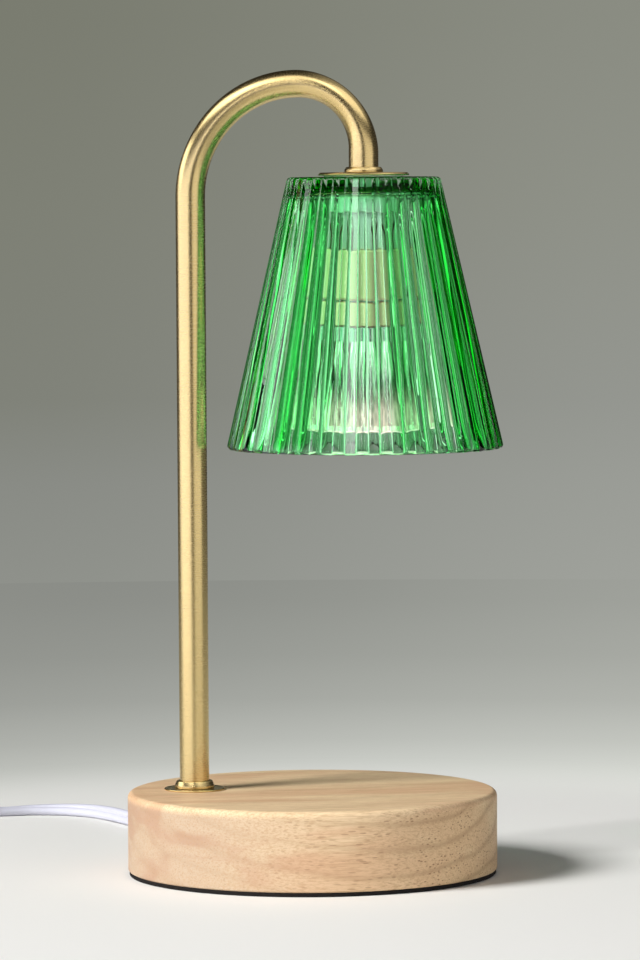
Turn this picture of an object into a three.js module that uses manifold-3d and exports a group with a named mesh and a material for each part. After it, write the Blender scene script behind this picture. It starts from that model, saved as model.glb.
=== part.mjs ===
// Candle warmer lamp, in millimetres, +Z up. The origin is the centre of the base's underside.
// +X runs from the arm's foot to the shade's axis, and +Y to the back, where the cord leaves the base.
import * as THREE from "three";
import { mergeVertices } from "three/addons/utils/BufferGeometryUtils.js";
import Module from "manifold-3d";

const wasm = await Module();
wasm.setup();

// Clearances
const clearance = 0.3; // round a piece in its hole, and between pieces that meet in a turned group
const runningClearance = 0.1; // round a spindle in its bearing
const overrun = 1; // how far a cut runs past the face that it opens
const mergeDistance = 0.001;
const floorGap = 0.1; // under what lies loose beside the lamp

// How finely round pieces are faceted
const baseSides = 54;
const shadeBoreSides = 60;
const headSides = 32;
const bulbSides = 32;
const roundSides = 24;
const smallSides = 16;
const reliefSides = 12;
const screwSides = 8;
const leadSides = 5;
const cornerSteps = 3;
const edgeSteps = 2;

// Wooden base and what is under it
const baseRadius = 75;
const baseHeight = 32;
const baseTopRound = 2.8;
const baseFootRound = 0.8;
const baseWall = 13; // round the pocket
const baseRoof = 14; // over the pocket
const padThickness = 1.7;
const padInset = 0.5;

// Steel ballast in the half of the pocket under the shade
const ballastThickness = 8;
const ballastMargin = 4;
const ballastScrewDegrees = 57; // either side of the plate's middle
const ballastScrewInset = 17.5; // from the plate's rim
const ballastScrewHeadRadius = 3.8;
const ballastScrewHeadHeight = 2.4;
const ballastScrewRadius = 1.9;
const ballastScrewBite = 9; // depth in the wood

// Flat twin cord, and where it leaves the base
const cordWidth = 6.4;
const cordThickness = 3.6;
const cordGroove = 0.45;
const cordLobeDegrees = [-90, -45, 0, 45, 90];
const cordExitDegrees = 122; // from +X towards +Y
const cordExitHeight = 15;

// Strain relief in the base's wall
const reliefShankRadius = 5;
const reliefCollarRadius = 6.6;
const reliefCollarThickness = 1.6;
const reliefTailLength = 24;
const reliefTailRadius = 5;
const reliefTipRadius = 4.3;
const reliefGrooves = 4;
const reliefGrooveDepth = 0.6;
const reliefInnerLip = 1;
const cordInRelief = 4; // how far the free cord starts inside the relief's tip

// Saddle that holds the cord against the pocket's roof
const saddleFromWall = 6;
const saddleLength = 10;
const saddleThickness = 1.2;
const saddleFoot = 8;
const saddleScrewHeadRadius = 2.6;
const saddleScrewHeadHeight = 1.8;
const saddleScrewRadius = 1.3;
const saddleScrewBite = 8;

// Two-pole terminal block
const terminalFromSaddle = 6;
const terminalLength = 16;
const terminalWidth = 19;
const terminalHeight = 13;
const terminalSpacing = 10;
const terminalTubeRadius = 2.5;
const terminalTubeWall = 0.9;
const terminalWellRadius = 1.7;
const terminalWellInset = 4;
const terminalBoreDrop = 8; // below its top
const terminalScrewHeadRadius = 2.6;
const terminalScrewHeadHeight = 1.8;
const terminalScrewRadius = 1.3;
const terminalScrewBite = 7;
const coreRadius = 1.1; // one core of the flex, and one lead of the arm
const coreInTube = 4;
const coreSplit = 4; // how far from the terminal the flex divides

// Bent arm tube
const armRadius = 6;
const armWall = 1;
const poleInset = 26.9; // its axis from the base's edge
const poleBendWidth = 43.4; // from the pole's axis to the crown of the arch
const poleBendHeight = 45.7;
const poleBendSteps = 10;
const headBendWidth = 27; // from the crown to the shade's axis
const headBendHeight = 27.5;
const headBendSteps = 8;
const crownFlatShare = 0.065; // how much the bends flatten the tube at the crown
const headBendFlatShare = 0.085; // and more in the tight bend
const bendSpreadShare = 0.6; // of the flattening, how much the tube widens sideways
const headTubeStraight = 8.4;

// Hollow threaded nipples, hex nuts and washers
const nippleWall = 1.5;
const footNippleInTube = 14;
const footNippleProud = 2.5; // below its nut
const nutAcrossFlats = 14;
const nutThickness = 3.5;
const footWasherRadius = 11;
const footWasherThickness = 1.5;
const leadSpread = 1.4; // each lead from the arm's middle

// Brass trim at the arm's two ends
const flangeRadius = 12.3;
const flangeThickness = 0.8;
const flangeEdge = 0.25;
const footCollarRadius = 8;
const footCollarHeight = 3;
const headCollarRadius = 7.8;
const headCollarHeight = 2.2;
const collarRound = 1.3;
const headDiscRadius = 18.5;
const headDiscThickness = 1.2;
const headDiscEdge = 0.4;

// Ribbed glass shade
const shadeLift = 138.7; // its rim over the base's top
const shadeHeight = 109.8;
const shadeTopRadius = 30.9;
const shadeRimRadius = 56.2;
const shadeWall = 3; // at the bottom of a flute
const shadeTopThickness = 6.2;
const shadeInnerRound = 3.8;
const shadeTopRound = 1.8;
const shadeRimRound = 1.6;
const ribCount = 36;
const ribDepthShare = 0.024; // of the radius
// Points along one rib and the flat flute beside it: place in the pitch, and height of the rib
const ribPlaceShares = [0, 0.11, 0.29, 0.47, 0.58];
const ribHeightShares = [0, 0.72, 1, 0.72, 0];
const ribFadeShares = { rim: 0.35, rimRound: 0.8, wall: 1, topRound: 0.8, top: 0.35 };

// What clamps the shade
const upperGasketThickness = 0.6;
const upperGasketRadius = 16;
const lowerGasketThickness = 1;
const lowerGasketInset = 0.5; // inside the cup's outer radius
const cupRadius = 13.5;
const cupHeight = 7.6;
const cupWall = 1.2;

// Strap that carries the lampholder
const strapWidth = 10.4;
const strapThickness = 1.2;
const strapSpan = 21.6; // over both legs
const strapHeight = 17.8; // crown to feet
const strapBend = 2.4;
const strapFoot = 6.2; // how far a foot reaches inwards
const bracketNippleProud = 0.6;

// Ceramic lampholder
const holderRadius = 13;
const holderHeight = 20.2;
const holderEdge = 0.8;
const holderScrewOffset = 7.2;
const holderScrewRadius = 1.5;
const holderScrewHeadRadius = 2.6;
const holderScrewHeadHeight = 2.2;
const holderScrewProud = 3;
const holderScrewSink = 2.8;
const holderFace = 2.9; // thickness of the slotted face
const leadHoleOffset = 10.2;
const leadHoleDepth = 6;
const leadInHolder = 4;
const contactThickness = 0.6;
const contactInset = 0.7;

// Reflector bulb with a twist-lock base
const bulbTwistDegrees = 45; // from locked to free
const bulbGap = 0.7; // between its base and the holder's face
const pinSpacing = 10;
const pinNeckRadius = 1.6;
const pinNeckLength = 3.9;
const pinHeadRadius = 2.5;
const pinHeadLength = 3.1;
const bulbBaseRadius = 12;
const bulbBaseHeight = 9.6;
const bulbBaseEdge = 1;
const bulbPlugRadius = 10.6;
const bulbPlugHeight = 5;
const reflectorNeckRadius = 12.3;
const reflectorRimRadius = 25;
const reflectorHeight = 42;
const reflectorNeckHeight = 6;
const reflectorWall = 1.4;
const reflectorRim = 2.4;
const reflectorBowlSteps = 5;
const reflectorInsideSteps = 2;
const reflectorCurveShare = 0.16; // the bowl's vertex over its neck, of the bowl's height
const lensThickness = 1.6;
const lensRebate = 1.2; // how far the rim stands in from its edge
const lensDrop = 0.3; // how far the lens lies inside the rim
const capsuleRadius = 4.5;
const capsuleLength = 18;

// In-line dimmer
const dimmerLength = 68;
const dimmerWidth = 26;
const dimmerHeight = 18;
const dimmerWall = 1.8;
const dimmerEdge = 2.2;
const dimmerNeckWidth = 11;
const dimmerShoulder = 20; // half the length of its full width
const dimmerParting = 7; // height of the joint between its shells, and of the cord
const dimmerCavityLength = 48;
const dimmerCordInside = 16;
const wheelRadius = 8;
const wheelThickness = 5;
const wheelProud = 2.6;
const wheelTeeth = 20;
const wheelToothDepth = 0.6;
const spindleRadius = 2;
const spindleLength = 18;
const potWidth = 12;
const potThickness = 5.4;
const potFromWheel = 1.2;
const potOverSpindle = 3.2;
const bearingWidth = 7;
const bearingThickness = 2.6;
const boardLength = 30;
const boardThickness = 1.6;
const dimmerScrewX = 20;
const dimmerScrewY = 7.4;
const dimmerScrewRadius = 1.2;
const dimmerScrewHeadRadius = 2.4;
const dimmerScrewHeadHeight = 1.6;
const dimmerScrewSink = 1.9;
const dimmerScrewBite = 7;
const dimmerBossRadius = 3.5;
const dimmerBossHeight = 3;

// Coil of the spare cord
const coilLayers = 4;
const coilTurns = 7;
const coilSteps = 20; // in a turn
const coilOuterRadius = 39.1; // of the cord's middle in the outermost turn
const coilSideGap = 0.6; // between turns side by side
const coilLayerGap = 0.6; // between turns on each other
const coilClimbShare = 0.5; // of a turn
const coilFromDimmer = 59; // its middle in front of the dimmer's line
const linkBendRadius = 29;
const linkBendSteps = 6;

// Plug
const plugLength = 31;
const plugWidth = 25;
const plugThickness = 14;
const plugTailWidth = 11;
const plugTailLength = 9;
const plugEdge = 2;
const bladeLength = 17.5;
const bladeRoot = 7;
const bladeThickness = 1.5;
const liveBladeWidth = 6.35;
const neutralBladeWidth = 7.9;
const bladeSpacing = 12.7;
const bladeHoleRadius = 1.6;
const bladeHoleFromTip = 4;
const bladeTip = 1;
const plugDrop = 45; // its tail in front of the coil's end

// Route of the free cord, chosen by hand: from the relief's tip, down to the floor and out to the left
const cordRoute = [
  [-51.4, 82.25, 15],
  [-53.5, 85.6, 15],
  [-57.2, 91.6, 14.7],
  [-62, 99.2, 13.2],
  [-68, 109, 10.6],
  [-74.6, 120, 7.4],
  [-81.2, 131, 4.8],
  [-87.4, 141.2, 3.5],
  [-93.2, 150.6, 3.35],
  [-98.8, 160, 3.3],
  [-105, 169, 3.2],
  [-114.4, 180, 2.9],
  [-127.6, 186.6, 2.6],
  [-141.4, 187.4, 2.25],
  [-153.5, 183.6, 2.05],
  [-159.5, 181, 2.8],
  [-165, 179.2, 4.5],
  [-170, 178.2, 6.4],
  [-174.5, 178, 7.1],
  [-182, 178, 7.1],
  [-192, 178, 7.1],
];
const cordRouteTwistDegrees = [90, 90, 90, 90, 90, 88, 82, 74, 66, 62, 58, 46, 29, 13, 4, 0, 0, 0, 0, 0, 0];
const cordRouteSteps = 24;

// Heights of the stack, from the floor up
const baseTop = padThickness + baseHeight;
const pocketRoof = baseTop - baseRoof;
const pocketRadius = baseRadius - baseWall;
const shadeRim = baseTop + shadeLift;
const shadeTop = shadeRim + shadeHeight;
const shadeCeiling = shadeTop - shadeTopThickness;
const discFloor = shadeTop + upperGasketThickness;
const discTop = discFloor + headDiscThickness;
const armApex = discTop + headTubeStraight + headBendHeight;
const flangeTop = baseTop + flangeThickness;
const poleX = poleInset - baseRadius;
const crownX = poleX + poleBendWidth;
const headX = crownX + headBendWidth;
const nippleRadius = armRadius - armWall - clearance;
const nippleHole = nippleRadius + clearance;
const cupTop = shadeCeiling - lowerGasketThickness;
const shadeNutTop = cupTop - cupWall;
const crownTop = shadeNutTop - nutThickness;
const bracketNutTop = crownTop - strapThickness;
const headNippleEnd = bracketNutTop - nutThickness - bracketNippleProud;
const holderTop = crownTop - strapHeight;
const holderFloor = holderTop - holderHeight;
const bulbTop = holderFloor - bulbGap;
const bulbBaseFloor = bulbTop - bulbBaseHeight;
const bulbFace = bulbBaseFloor - reflectorHeight;
const pinOrbit = pinSpacing / 2;

// Colours and finishes
const brass = new THREE.MeshStandardMaterial({ color: 0xc9a35b, metalness: 0.9, roughness: 0.38 });
const steel = new THREE.MeshStandardMaterial({ color: 0xb8bcc0, metalness: 0.9, roughness: 0.35 });
const castIron = new THREE.MeshStandardMaterial({ color: 0x4a4c50, metalness: 0.6, roughness: 0.6 });
const wood = new THREE.MeshStandardMaterial({ color: 0xddba94, metalness: 0, roughness: 0.6 });
const blackFoam = new THREE.MeshStandardMaterial({ color: 0x141210, metalness: 0, roughness: 0.9 });
const greenGlass = new THREE.MeshStandardMaterial({
  color: 0x1f8f4a,
  metalness: 0,
  roughness: 0.05,
  transparent: true,
  opacity: 0.5,
});
const clearGlass = new THREE.MeshStandardMaterial({ color: 0xf4f8f8, metalness: 0, roughness: 0.05 });
const silvered = new THREE.MeshStandardMaterial({ color: 0xe6e8e4, metalness: 1, roughness: 0.12 });
const ceramic = new THREE.MeshStandardMaterial({ color: 0xefe8d2, metalness: 0, roughness: 0.4 });
const whitePlastic = new THREE.MeshStandardMaterial({ color: 0xf1f0f4, metalness: 0, roughness: 0.45 });
const greyPlastic = new THREE.MeshStandardMaterial({ color: 0x5c6064, metalness: 0, roughness: 0.5 });
const silicone = new THREE.MeshStandardMaterial({ color: 0xe4e4dc, metalness: 0, roughness: 0.6 });
const brownSleeve = new THREE.MeshStandardMaterial({ color: 0x6b4a2a, metalness: 0, roughness: 0.8 });
const greenBoard = new THREE.MeshStandardMaterial({ color: 0x2c6b3c, metalness: 0, roughness: 0.6 });

/** The geometry with its shared points merged, its slivers dropped and its faces turned outwards. */
function closed(geometry) {
  const bare = geometry.clone();
  bare.deleteAttribute("normal");
  bare.deleteAttribute("uv");
  const merged = mergeVertices(bare, mergeDistance);
  const place = merged.attributes.position;
  const corner = [0, 1, 2].map(() => new THREE.Vector3());
  const faces = [];
  let volume = 0;
  for (let i = 0; i < merged.index.count; i += 3) {
    const face = [0, 1, 2].map((k) => merged.index.getX(i + k));
    if (new Set(face).size === 3) {
      face.forEach((vertex, k) => corner[k].fromBufferAttribute(place, vertex));
      volume += corner[0].dot(corner[1].clone().cross(corner[2]));
      faces.push(face);
    }
  }
  merged.setIndex(faces.flatMap((face) => (volume < 0 ? face.reverse() : face)));
  return merged;
}

function toSolid(geometry) {
  const merged = closed(geometry);
  const vertProperties = new Float32Array(merged.attributes.position.array);
  const triVerts = new Uint32Array(merged.index.array);
  return new wasm.Manifold(new wasm.Mesh({ numProp: 3, vertProperties, triVerts }));
}

function toGeometry(solid) {
  const mesh = solid.getMesh();
  const geometry = new THREE.BufferGeometry();
  geometry.setAttribute("position", new THREE.BufferAttribute(new Float32Array(mesh.vertProperties), 3));
  geometry.setIndex([...mesh.triVerts]);
  return geometry;
}

function cut(body, ...tools) {
  return toGeometry(tools.reduce((left, tool) => left.subtract(toSolid(tool)), toSolid(body)));
}

function join(body, ...others) {
  return toGeometry(others.reduce((left, other) => left.add(toSolid(other)), toSolid(body)));
}

function common(body, other) {
  return toGeometry(toSolid(body).intersect(toSolid(other)));
}

function moved(geometry, x, y, z) {
  return geometry.clone().translate(x, y, z);
}

/** A solid turned about Z. The profile's [radius, height] pairs run from axis to axis, or form a loop. */
function turned(profile, sides) {
  const points = profile.map(([radius, height]) => new THREE.Vector2(radius, height));
  return closed(new THREE.LatheGeometry(points, sides).rotateX(Math.PI / 2));
}

function rod(radius, low, high, sides = roundSides) {
  return turned(
    [
      [0, low],
      [radius, low],
      [radius, high],
      [0, high],
    ],
    sides,
  );
}

function ring(inner, outer, low, high, sides = smallSides) {
  return turned(
    [
      [inner, low],
      [outer, low],
      [outer, high],
      [inner, high],
      [inner, low],
    ],
    sides,
  );
}

function box(x0, x1, y0, y1, z0, z1) {
  const block = new THREE.BoxGeometry(x1 - x0, y1 - y0, z1 - z0);
  return block.translate((x0 + x1) / 2, (y0 + y1) / 2, (z0 + z1) / 2);
}

function extruded(shape, low, high, curveSegments = smallSides) {
  const options = { depth: high - low, bevelEnabled: false, curveSegments };
  return closed(new THREE.ExtrudeGeometry(shape, options).translate(0, 0, low));
}

/** An upright slab with its top and bottom edges rounded inside the outline. */
function softExtruded(shape, low, high, edge) {
  const options = {
    depth: high - low - 2 * edge,
    bevelThickness: edge,
    bevelSize: edge,
    bevelOffset: -edge,
    bevelSegments: edgeSteps,
    curveSegments: 2 * cornerSteps,
  };
  return closed(new THREE.ExtrudeGeometry(shape, options).translate(0, 0, low + edge));
}

/** Points of an arc in a profile, from one angle in degrees to another. */
function arc(radius, height, bend, from, to, steps = cornerSteps) {
  return Array.from({ length: steps + 1 }, (_, i) => {
    const angle = THREE.MathUtils.degToRad(THREE.MathUtils.lerp(from, to, i / steps));
    return [radius + bend * Math.cos(angle), height + bend * Math.sin(angle)];
  });
}

function circleShape(radius, sides) {
  const points = Array.from({ length: sides }, (_, i) => {
    const angle = (2 * Math.PI * i) / sides;
    return new THREE.Vector2(radius * Math.cos(angle), radius * Math.sin(angle));
  });
  return new THREE.Shape(points);
}

/** A screw that points up, with the underside of its pan head at height 0. */
function screw(headRadius, headHeight, shankRadius, shankLength) {
  return turned(
    [
      [0, -headHeight],
      [headRadius * 0.7, -headHeight],
      [headRadius, -headHeight / 2],
      [headRadius, 0],
      [shankRadius, 0],
      [shankRadius, shankLength - shankRadius],
      [0, shankLength],
    ],
    screwSides,
  );
}

function hexNut(low) {
  const shape = circleShape(nutAcrossFlats / Math.sqrt(3), 6);
  shape.holes.push(circleShape(nippleHole, smallSides));
  return extruded(shape, low, low + nutThickness);
}

/**
 * A route held as its stations. A flat section lies along it turned by the twists, in degrees from lying flat.
 * Without twists the section is carried along unturned, from +Y, and the flat shares squeeze it.
 */
class Route extends THREE.Curve {
  constructor(stations, twists = null, flatShares = null) {
    super();
    this.stations = stations;
    this.twists = twists;
    this.flatShares = flatShares;
  }

  getSpacedPoints() {
    return this.stations;
  }

  computeFrenetFrames() {
    const last = this.stations.length - 1;
    const legs = this.stations.slice(1).map((place, i) => place.clone().sub(this.stations[i]).normalize());
    const tangents = this.stations.map((_, i) =>
      legs[Math.max(i - 1, 0)].clone().add(legs[Math.min(i, last - 1)]).normalize(),
    );
    const up = new THREE.Vector3(0, 0, 1);
    let carried = new THREE.Vector3(0, 1, 0);
    const normals = tangents.map((tangent, i) => {
      if (this.twists) {
        const side = tangent.clone().cross(up).normalize();
        const turn = THREE.MathUtils.degToRad(this.twists[i]);
        const rise = side.clone().cross(tangent);
        return side.multiplyScalar(Math.cos(turn)).addScaledVector(rise, Math.sin(turn));
      }
      carried = carried.clone().addScaledVector(tangent, -carried.dot(tangent)).normalize();
      return carried;
    });
    const binormals = tangents.map((tangent, i) => tangent.clone().cross(normals[i]));
    if (this.flatShares) {
      this.flatShares.forEach((share, i) => {
        normals[i] = normals[i].clone().multiplyScalar(1 + bendSpreadShare * share);
        binormals[i].multiplyScalar(1 - share);
      });
    }
    return { tangents, normals, binormals };
  }

  /** The route's length. */
  span() {
    return this.stations.slice(1).reduce((sum, place, i) => sum + place.distanceTo(this.stations[i]), 0);
  }
}

function along(route, section) {
  const options = { steps: route.stations.length - 1, extrudePath: route, curveSegments: smallSides };
  return closed(new THREE.ExtrudeGeometry(section, options));
}

/** Evenly spaced stations on a smooth curve through points, with any twists eased between them. */
function smoothRoute(points, steps, twists = null) {
  const curve = new THREE.CatmullRomCurve3(points, false, "centripetal");
  const stations = curve.getSpacedPoints(steps);
  const eased = stations.map((_, i) => {
    const place = curve.getUtoTmapping(i / steps) * (points.length - 1);
    const before = Math.min(Math.floor(place), points.length - 2);
    return twists && THREE.MathUtils.lerp(twists[before], twists[before + 1], place - before);
  });
  return new Route(stations, twists && eased);
}

/** The flat twin cord's section: two round cores side by side with a groove between them. */
function cordSection() {
  const lobe = cordThickness / 2;
  const offset = cordWidth / 2 - lobe;
  const lobePoints = cordLobeDegrees.map((degrees) => {
    const angle = THREE.MathUtils.degToRad(degrees);
    return new THREE.Vector2(offset + lobe * Math.cos(angle), lobe * Math.sin(angle));
  });
  const groove = new THREE.Vector2(0, lobe - cordGroove);
  const turnedOver = [...lobePoints, groove].map((point) => point.clone().negate());
  return new THREE.Shape([...lobePoints, groove, ...turnedOver]);
}

/** The simpler section that the coil's turns have. */
function coilSection() {
  const shoulder = (cordWidth - cordThickness) / 2 + cordThickness / 6;
  const outline = [
    [cordWidth / 2, 0],
    [shoulder, cordThickness / 2],
    [-shoulder, cordThickness / 2],
    [-cordWidth / 2, 0],
    [-shoulder, -cordThickness / 2],
    [shoulder, -cordThickness / 2],
  ];
  return new THREE.Shape(outline.map(([x, y]) => new THREE.Vector2(x, y)));
}

/** A slot on an arc round the middle, with round ends. */
function arcSlot(radius, halfWidth, fromDegrees, toDegrees) {
  const from = THREE.MathUtils.degToRad(fromDegrees);
  const to = THREE.MathUtils.degToRad(toDegrees);
  const shape = new THREE.Shape();
  shape.absarc(0, 0, radius + halfWidth, from, to, false);
  shape.absarc(radius * Math.cos(to), radius * Math.sin(to), halfWidth, to, to + Math.PI, false);
  shape.absarc(0, 0, radius - halfWidth, to, from, true);
  const [startX, startY] = [radius * Math.cos(from), radius * Math.sin(from)];
  shape.absarc(startX, startY, halfWidth, from + Math.PI, from + 2 * Math.PI, false);
  return shape;
}

const lamp = new THREE.Group();
const foot = new THREE.Group();
const head = new THREE.Group();
const exit = new THREE.Group();
foot.position.set(poleX, 0, 0);
head.position.set(headX, 0, 0);
exit.rotation.z = THREE.MathUtils.degToRad(cordExitDegrees);
lamp.add(foot, head, exit);

function add(parent, name, geometry, material) {
  const mesh = new THREE.Mesh(geometry, material);
  mesh.name = name;
  parent.add(mesh);
  return mesh;
}

/** A place given along the cord's exit, across it and up, in the lamp's own frame. */
function fromExit(out, across, height) {
  return new THREE.Vector3(out, across, height).applyAxisAngle(new THREE.Vector3(0, 0, 1), exit.rotation.z);
}

/** A geometry made about Z, laid along the cord's exit with its height running outwards. */
function outwards(geometry, height) {
  return geometry.clone().rotateY(Math.PI / 2).translate(0, 0, height);
}

const ballastRadius = pocketRadius - ballastMargin;
const ballastScrewPlaces = [-1, 1].map((side) => {
  const angle = side * THREE.MathUtils.degToRad(ballastScrewDegrees);
  const radius = ballastRadius - ballastScrewInset;
  return [radius * Math.cos(angle), radius * Math.sin(angle)];
});
const saddleOuter = pocketRadius - saddleFromWall;
const saddleInner = saddleOuter - saddleLength;
const saddleLeg = cordThickness / 2 + clearance;
const saddleScrewY = saddleLeg + saddleThickness + saddleFoot / 2;
const saddleMiddle = (saddleOuter + saddleInner) / 2;
const saddleTop = pocketRoof - clearance;

function makeBase() {
  const profile = [
    [0, pocketRoof],
    [pocketRadius, pocketRoof],
    [pocketRadius, padThickness],
    [baseRadius - baseFootRound, padThickness],
    [baseRadius, padThickness + baseFootRound],
    ...arc(baseRadius - baseTopRound, baseTop - baseTopRound, baseTopRound, 0, 90),
    [0, baseTop],
  ];
  const poleHole = moved(rod(nippleHole, pocketRoof - overrun, baseTop + overrun), poleX, 0, 0);
  const exitInner = pocketRadius - 2 * reliefShankRadius;
  const exitHole = rod(reliefShankRadius + clearance, exitInner, baseRadius + overrun);
  const pilot = (x, y, radius, bite) =>
    moved(rod(radius + clearance, pocketRoof - overrun, pocketRoof + bite + clearance, screwSides), x, y, 0);
  const pilots = [
    ...ballastScrewPlaces.map(([x, y]) => pilot(x, y, ballastScrewRadius, ballastScrewBite)),
    ...[
      pilot(saddleMiddle, -saddleScrewY, saddleScrewRadius, saddleScrewBite),
      pilot(saddleMiddle, saddleScrewY, saddleScrewRadius, saddleScrewBite),
      pilot(terminalMiddle, 0, terminalScrewRadius, terminalScrewBite),
    ].map((tool) => tool.rotateZ(exit.rotation.z)),
  ];
  const exitTool = outwards(exitHole, cordExitHeight).rotateZ(exit.rotation.z);
  const block = cut(turned(profile, baseSides), poleHole, exitTool, ...pilots);
  add(lamp, "base_block", block, wood);
  add(lamp, "base_pad", rod(baseRadius - padInset, 0, padThickness, baseSides), blackFoam);
}

/** The half disc of the ballast, cut straight where it clears the terminal block. */
function makeBallast() {
  const straight = fromExit(terminalInner, -terminalWidth / 2, 0).x + ballastMargin;
  const turn = Math.acos(straight / ballastRadius);
  const shape = new THREE.Shape();
  shape.absarc(0, 0, ballastRadius, -turn, turn, false);
  for (const [x, y] of ballastScrewPlaces) {
    const hole = new THREE.Path();
    hole.absarc(x, y, ballastScrewRadius + clearance, 0, 2 * Math.PI, true);
    shape.holes.push(hole);
  }
  const floor = pocketRoof - ballastThickness;
  add(lamp, "ballast_plate", extruded(shape, floor, pocketRoof), castIron);
  ballastScrewPlaces.forEach(([x, y], i) => {
    const length = ballastThickness + ballastScrewBite;
    const geometry = screw(ballastScrewHeadRadius, ballastScrewHeadHeight, ballastScrewRadius, length);
    add(lamp, `ballast_screw_${i + 1}`, geometry, steel).position.set(x, y, floor);
  });
}

/** The strain relief: a shank through the wall, a collar outside it and a grooved, tapering tail. */
function makeRelief() {
  const collarStart = baseRadius + clearance;
  const tailStart = collarStart + reliefCollarThickness;
  const pitch = reliefTailLength / (reliefGrooves + 1);
  const tail = [];
  for (let i = 0; i < reliefGrooves; i += 1) {
    const start = tailStart + pitch * (i + 0.75);
    const end = start + pitch / 2;
    const radius = (place) =>
      THREE.MathUtils.lerp(reliefTailRadius, reliefTipRadius, (place - tailStart) / reliefTailLength);
    tail.push([radius(start), start], [radius(start) - reliefGrooveDepth, start]);
    tail.push([radius(end) - reliefGrooveDepth, end], [radius(end), end]);
  }
  const profile = [
    [0, pocketRadius - reliefInnerLip],
    [reliefShankRadius, pocketRadius - reliefInnerLip],
    [reliefShankRadius, collarStart],
    [reliefCollarRadius, collarStart],
    [reliefCollarRadius, tailStart],
    [reliefTailRadius, tailStart],
    ...tail,
    [reliefTipRadius, tailStart + reliefTailLength],
    [0, tailStart + reliefTailLength],
  ];
  const boreHalf = cordThickness / 2 + clearance;
  const boreLong = cordWidth / 2 + clearance - boreHalf;
  const bore = new THREE.Shape();
  bore.absarc(boreLong, 0, boreHalf, -Math.PI / 2, Math.PI / 2, false);
  bore.absarc(-boreLong, 0, boreHalf, Math.PI / 2, (3 * Math.PI) / 2, false);
  const boreTool = extruded(
    bore,
    pocketRadius - reliefInnerLip - overrun,
    tailStart + reliefTailLength + overrun,
    cornerSteps + 1,
  );
  const relief = cut(turned(profile, reliefSides), boreTool);
  add(exit, "cord_relief", outwards(relief, cordExitHeight), whitePlastic);
}

/** The saddle over the cord, an extruded strip with two screwed feet. */
function makeSaddle() {
  const low = cordExitHeight - cordWidth / 2 - clearance;
  const inner = saddleLeg;
  const outer = saddleLeg + saddleThickness;
  const tip = outer + saddleFoot;
  const half = [
    [tip, saddleTop],
    [inner, saddleTop],
    [inner, low],
  ];
  const under = [
    [outer, low - saddleThickness],
    [outer, saddleTop - saddleThickness],
    [tip, saddleTop - saddleThickness],
  ];
  const mirrored = (points) => points.map(([y, z]) => [-y, z]).reverse();
  const outline = [...half, ...mirrored(half), ...mirrored(under), ...under];
  const shape = new THREE.Shape(outline.map(([y, z]) => new THREE.Vector2(y, z)));
  const strip = extruded(shape, saddleInner, saddleOuter);
  strip.applyMatrix4(new THREE.Matrix4().makeBasis(axisY, axisZ, axisX));
  const holes = [-1, 1].map((side) =>
    moved(
      rod(saddleScrewRadius + clearance, low, pocketRoof, screwSides),
      saddleMiddle,
      side * saddleScrewY,
      0,
    ),
  );
  add(exit, "cord_saddle", cut(strip, ...holes), whitePlastic);
  [-1, 1].forEach((side, i) => {
    const length = saddleThickness + clearance + saddleScrewBite;
    const geometry = screw(saddleScrewHeadRadius, saddleScrewHeadHeight, saddleScrewRadius, length);
    const seat = saddleTop - saddleThickness - clearance;
    add(exit, `saddle_screw_${i + 1}`, geometry, steel).position.set(saddleMiddle, side * saddleScrewY, seat);
  });
}

const axisX = new THREE.Vector3(1, 0, 0);
const axisY = new THREE.Vector3(0, 1, 0);
const axisZ = new THREE.Vector3(0, 0, 1);
const terminalOuter = saddleInner - terminalFromSaddle;
const terminalInner = terminalOuter - terminalLength;
const terminalMiddle = (terminalInner + terminalOuter) / 2;
const terminalTop = pocketRoof - clearance;
const terminalBore = terminalTop - terminalBoreDrop;
const poles = [-1, 1];

function makeTerminal() {
  const bores = poles.map((side) =>
    moved(
      outwards(
        rod(terminalTubeRadius + clearance, terminalInner - overrun, terminalOuter + overrun, smallSides),
        terminalBore,
      ),
      0,
      (side * terminalSpacing) / 2,
      0,
    ),
  );
  const wells = poles.flatMap((side) =>
    [terminalInner + terminalWellInset, terminalOuter - terminalWellInset].map((x) =>
      moved(
        rod(terminalWellRadius, terminalTop - terminalHeight - overrun, terminalBore, screwSides),
        x,
        (side * terminalSpacing) / 2,
        0,
      ),
    ),
  );
  const floor = terminalTop - terminalHeight;
  const hole = rod(terminalScrewRadius + clearance, floor - overrun, terminalTop + overrun, screwSides);
  const block = box(terminalInner, terminalOuter, -terminalWidth / 2, terminalWidth / 2, floor, terminalTop);
  const screwHole = moved(hole, terminalMiddle, 0, 0);
  add(exit, "terminal_block", cut(block, ...bores, ...wells, screwHole), whitePlastic);
  const length = terminalHeight + 2 * clearance + terminalScrewBite;
  const geometry = screw(terminalScrewHeadRadius, terminalScrewHeadHeight, terminalScrewRadius, length);
  add(exit, "terminal_screw", geometry, steel).position.set(terminalMiddle, 0, floor - clearance);
  poles.forEach((side, i) => {
    const inner = terminalTubeRadius - terminalTubeWall;
    const [start, end] = [terminalInner + overrun, terminalOuter - overrun];
    const tube = ring(inner, terminalTubeRadius, start, end, smallSides);
    const name = `terminal_tube_${i + 1}`;
    add(exit, name, moved(outwards(tube, terminalBore), 0, (side * terminalSpacing) / 2, 0), brass);
  });
}

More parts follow.
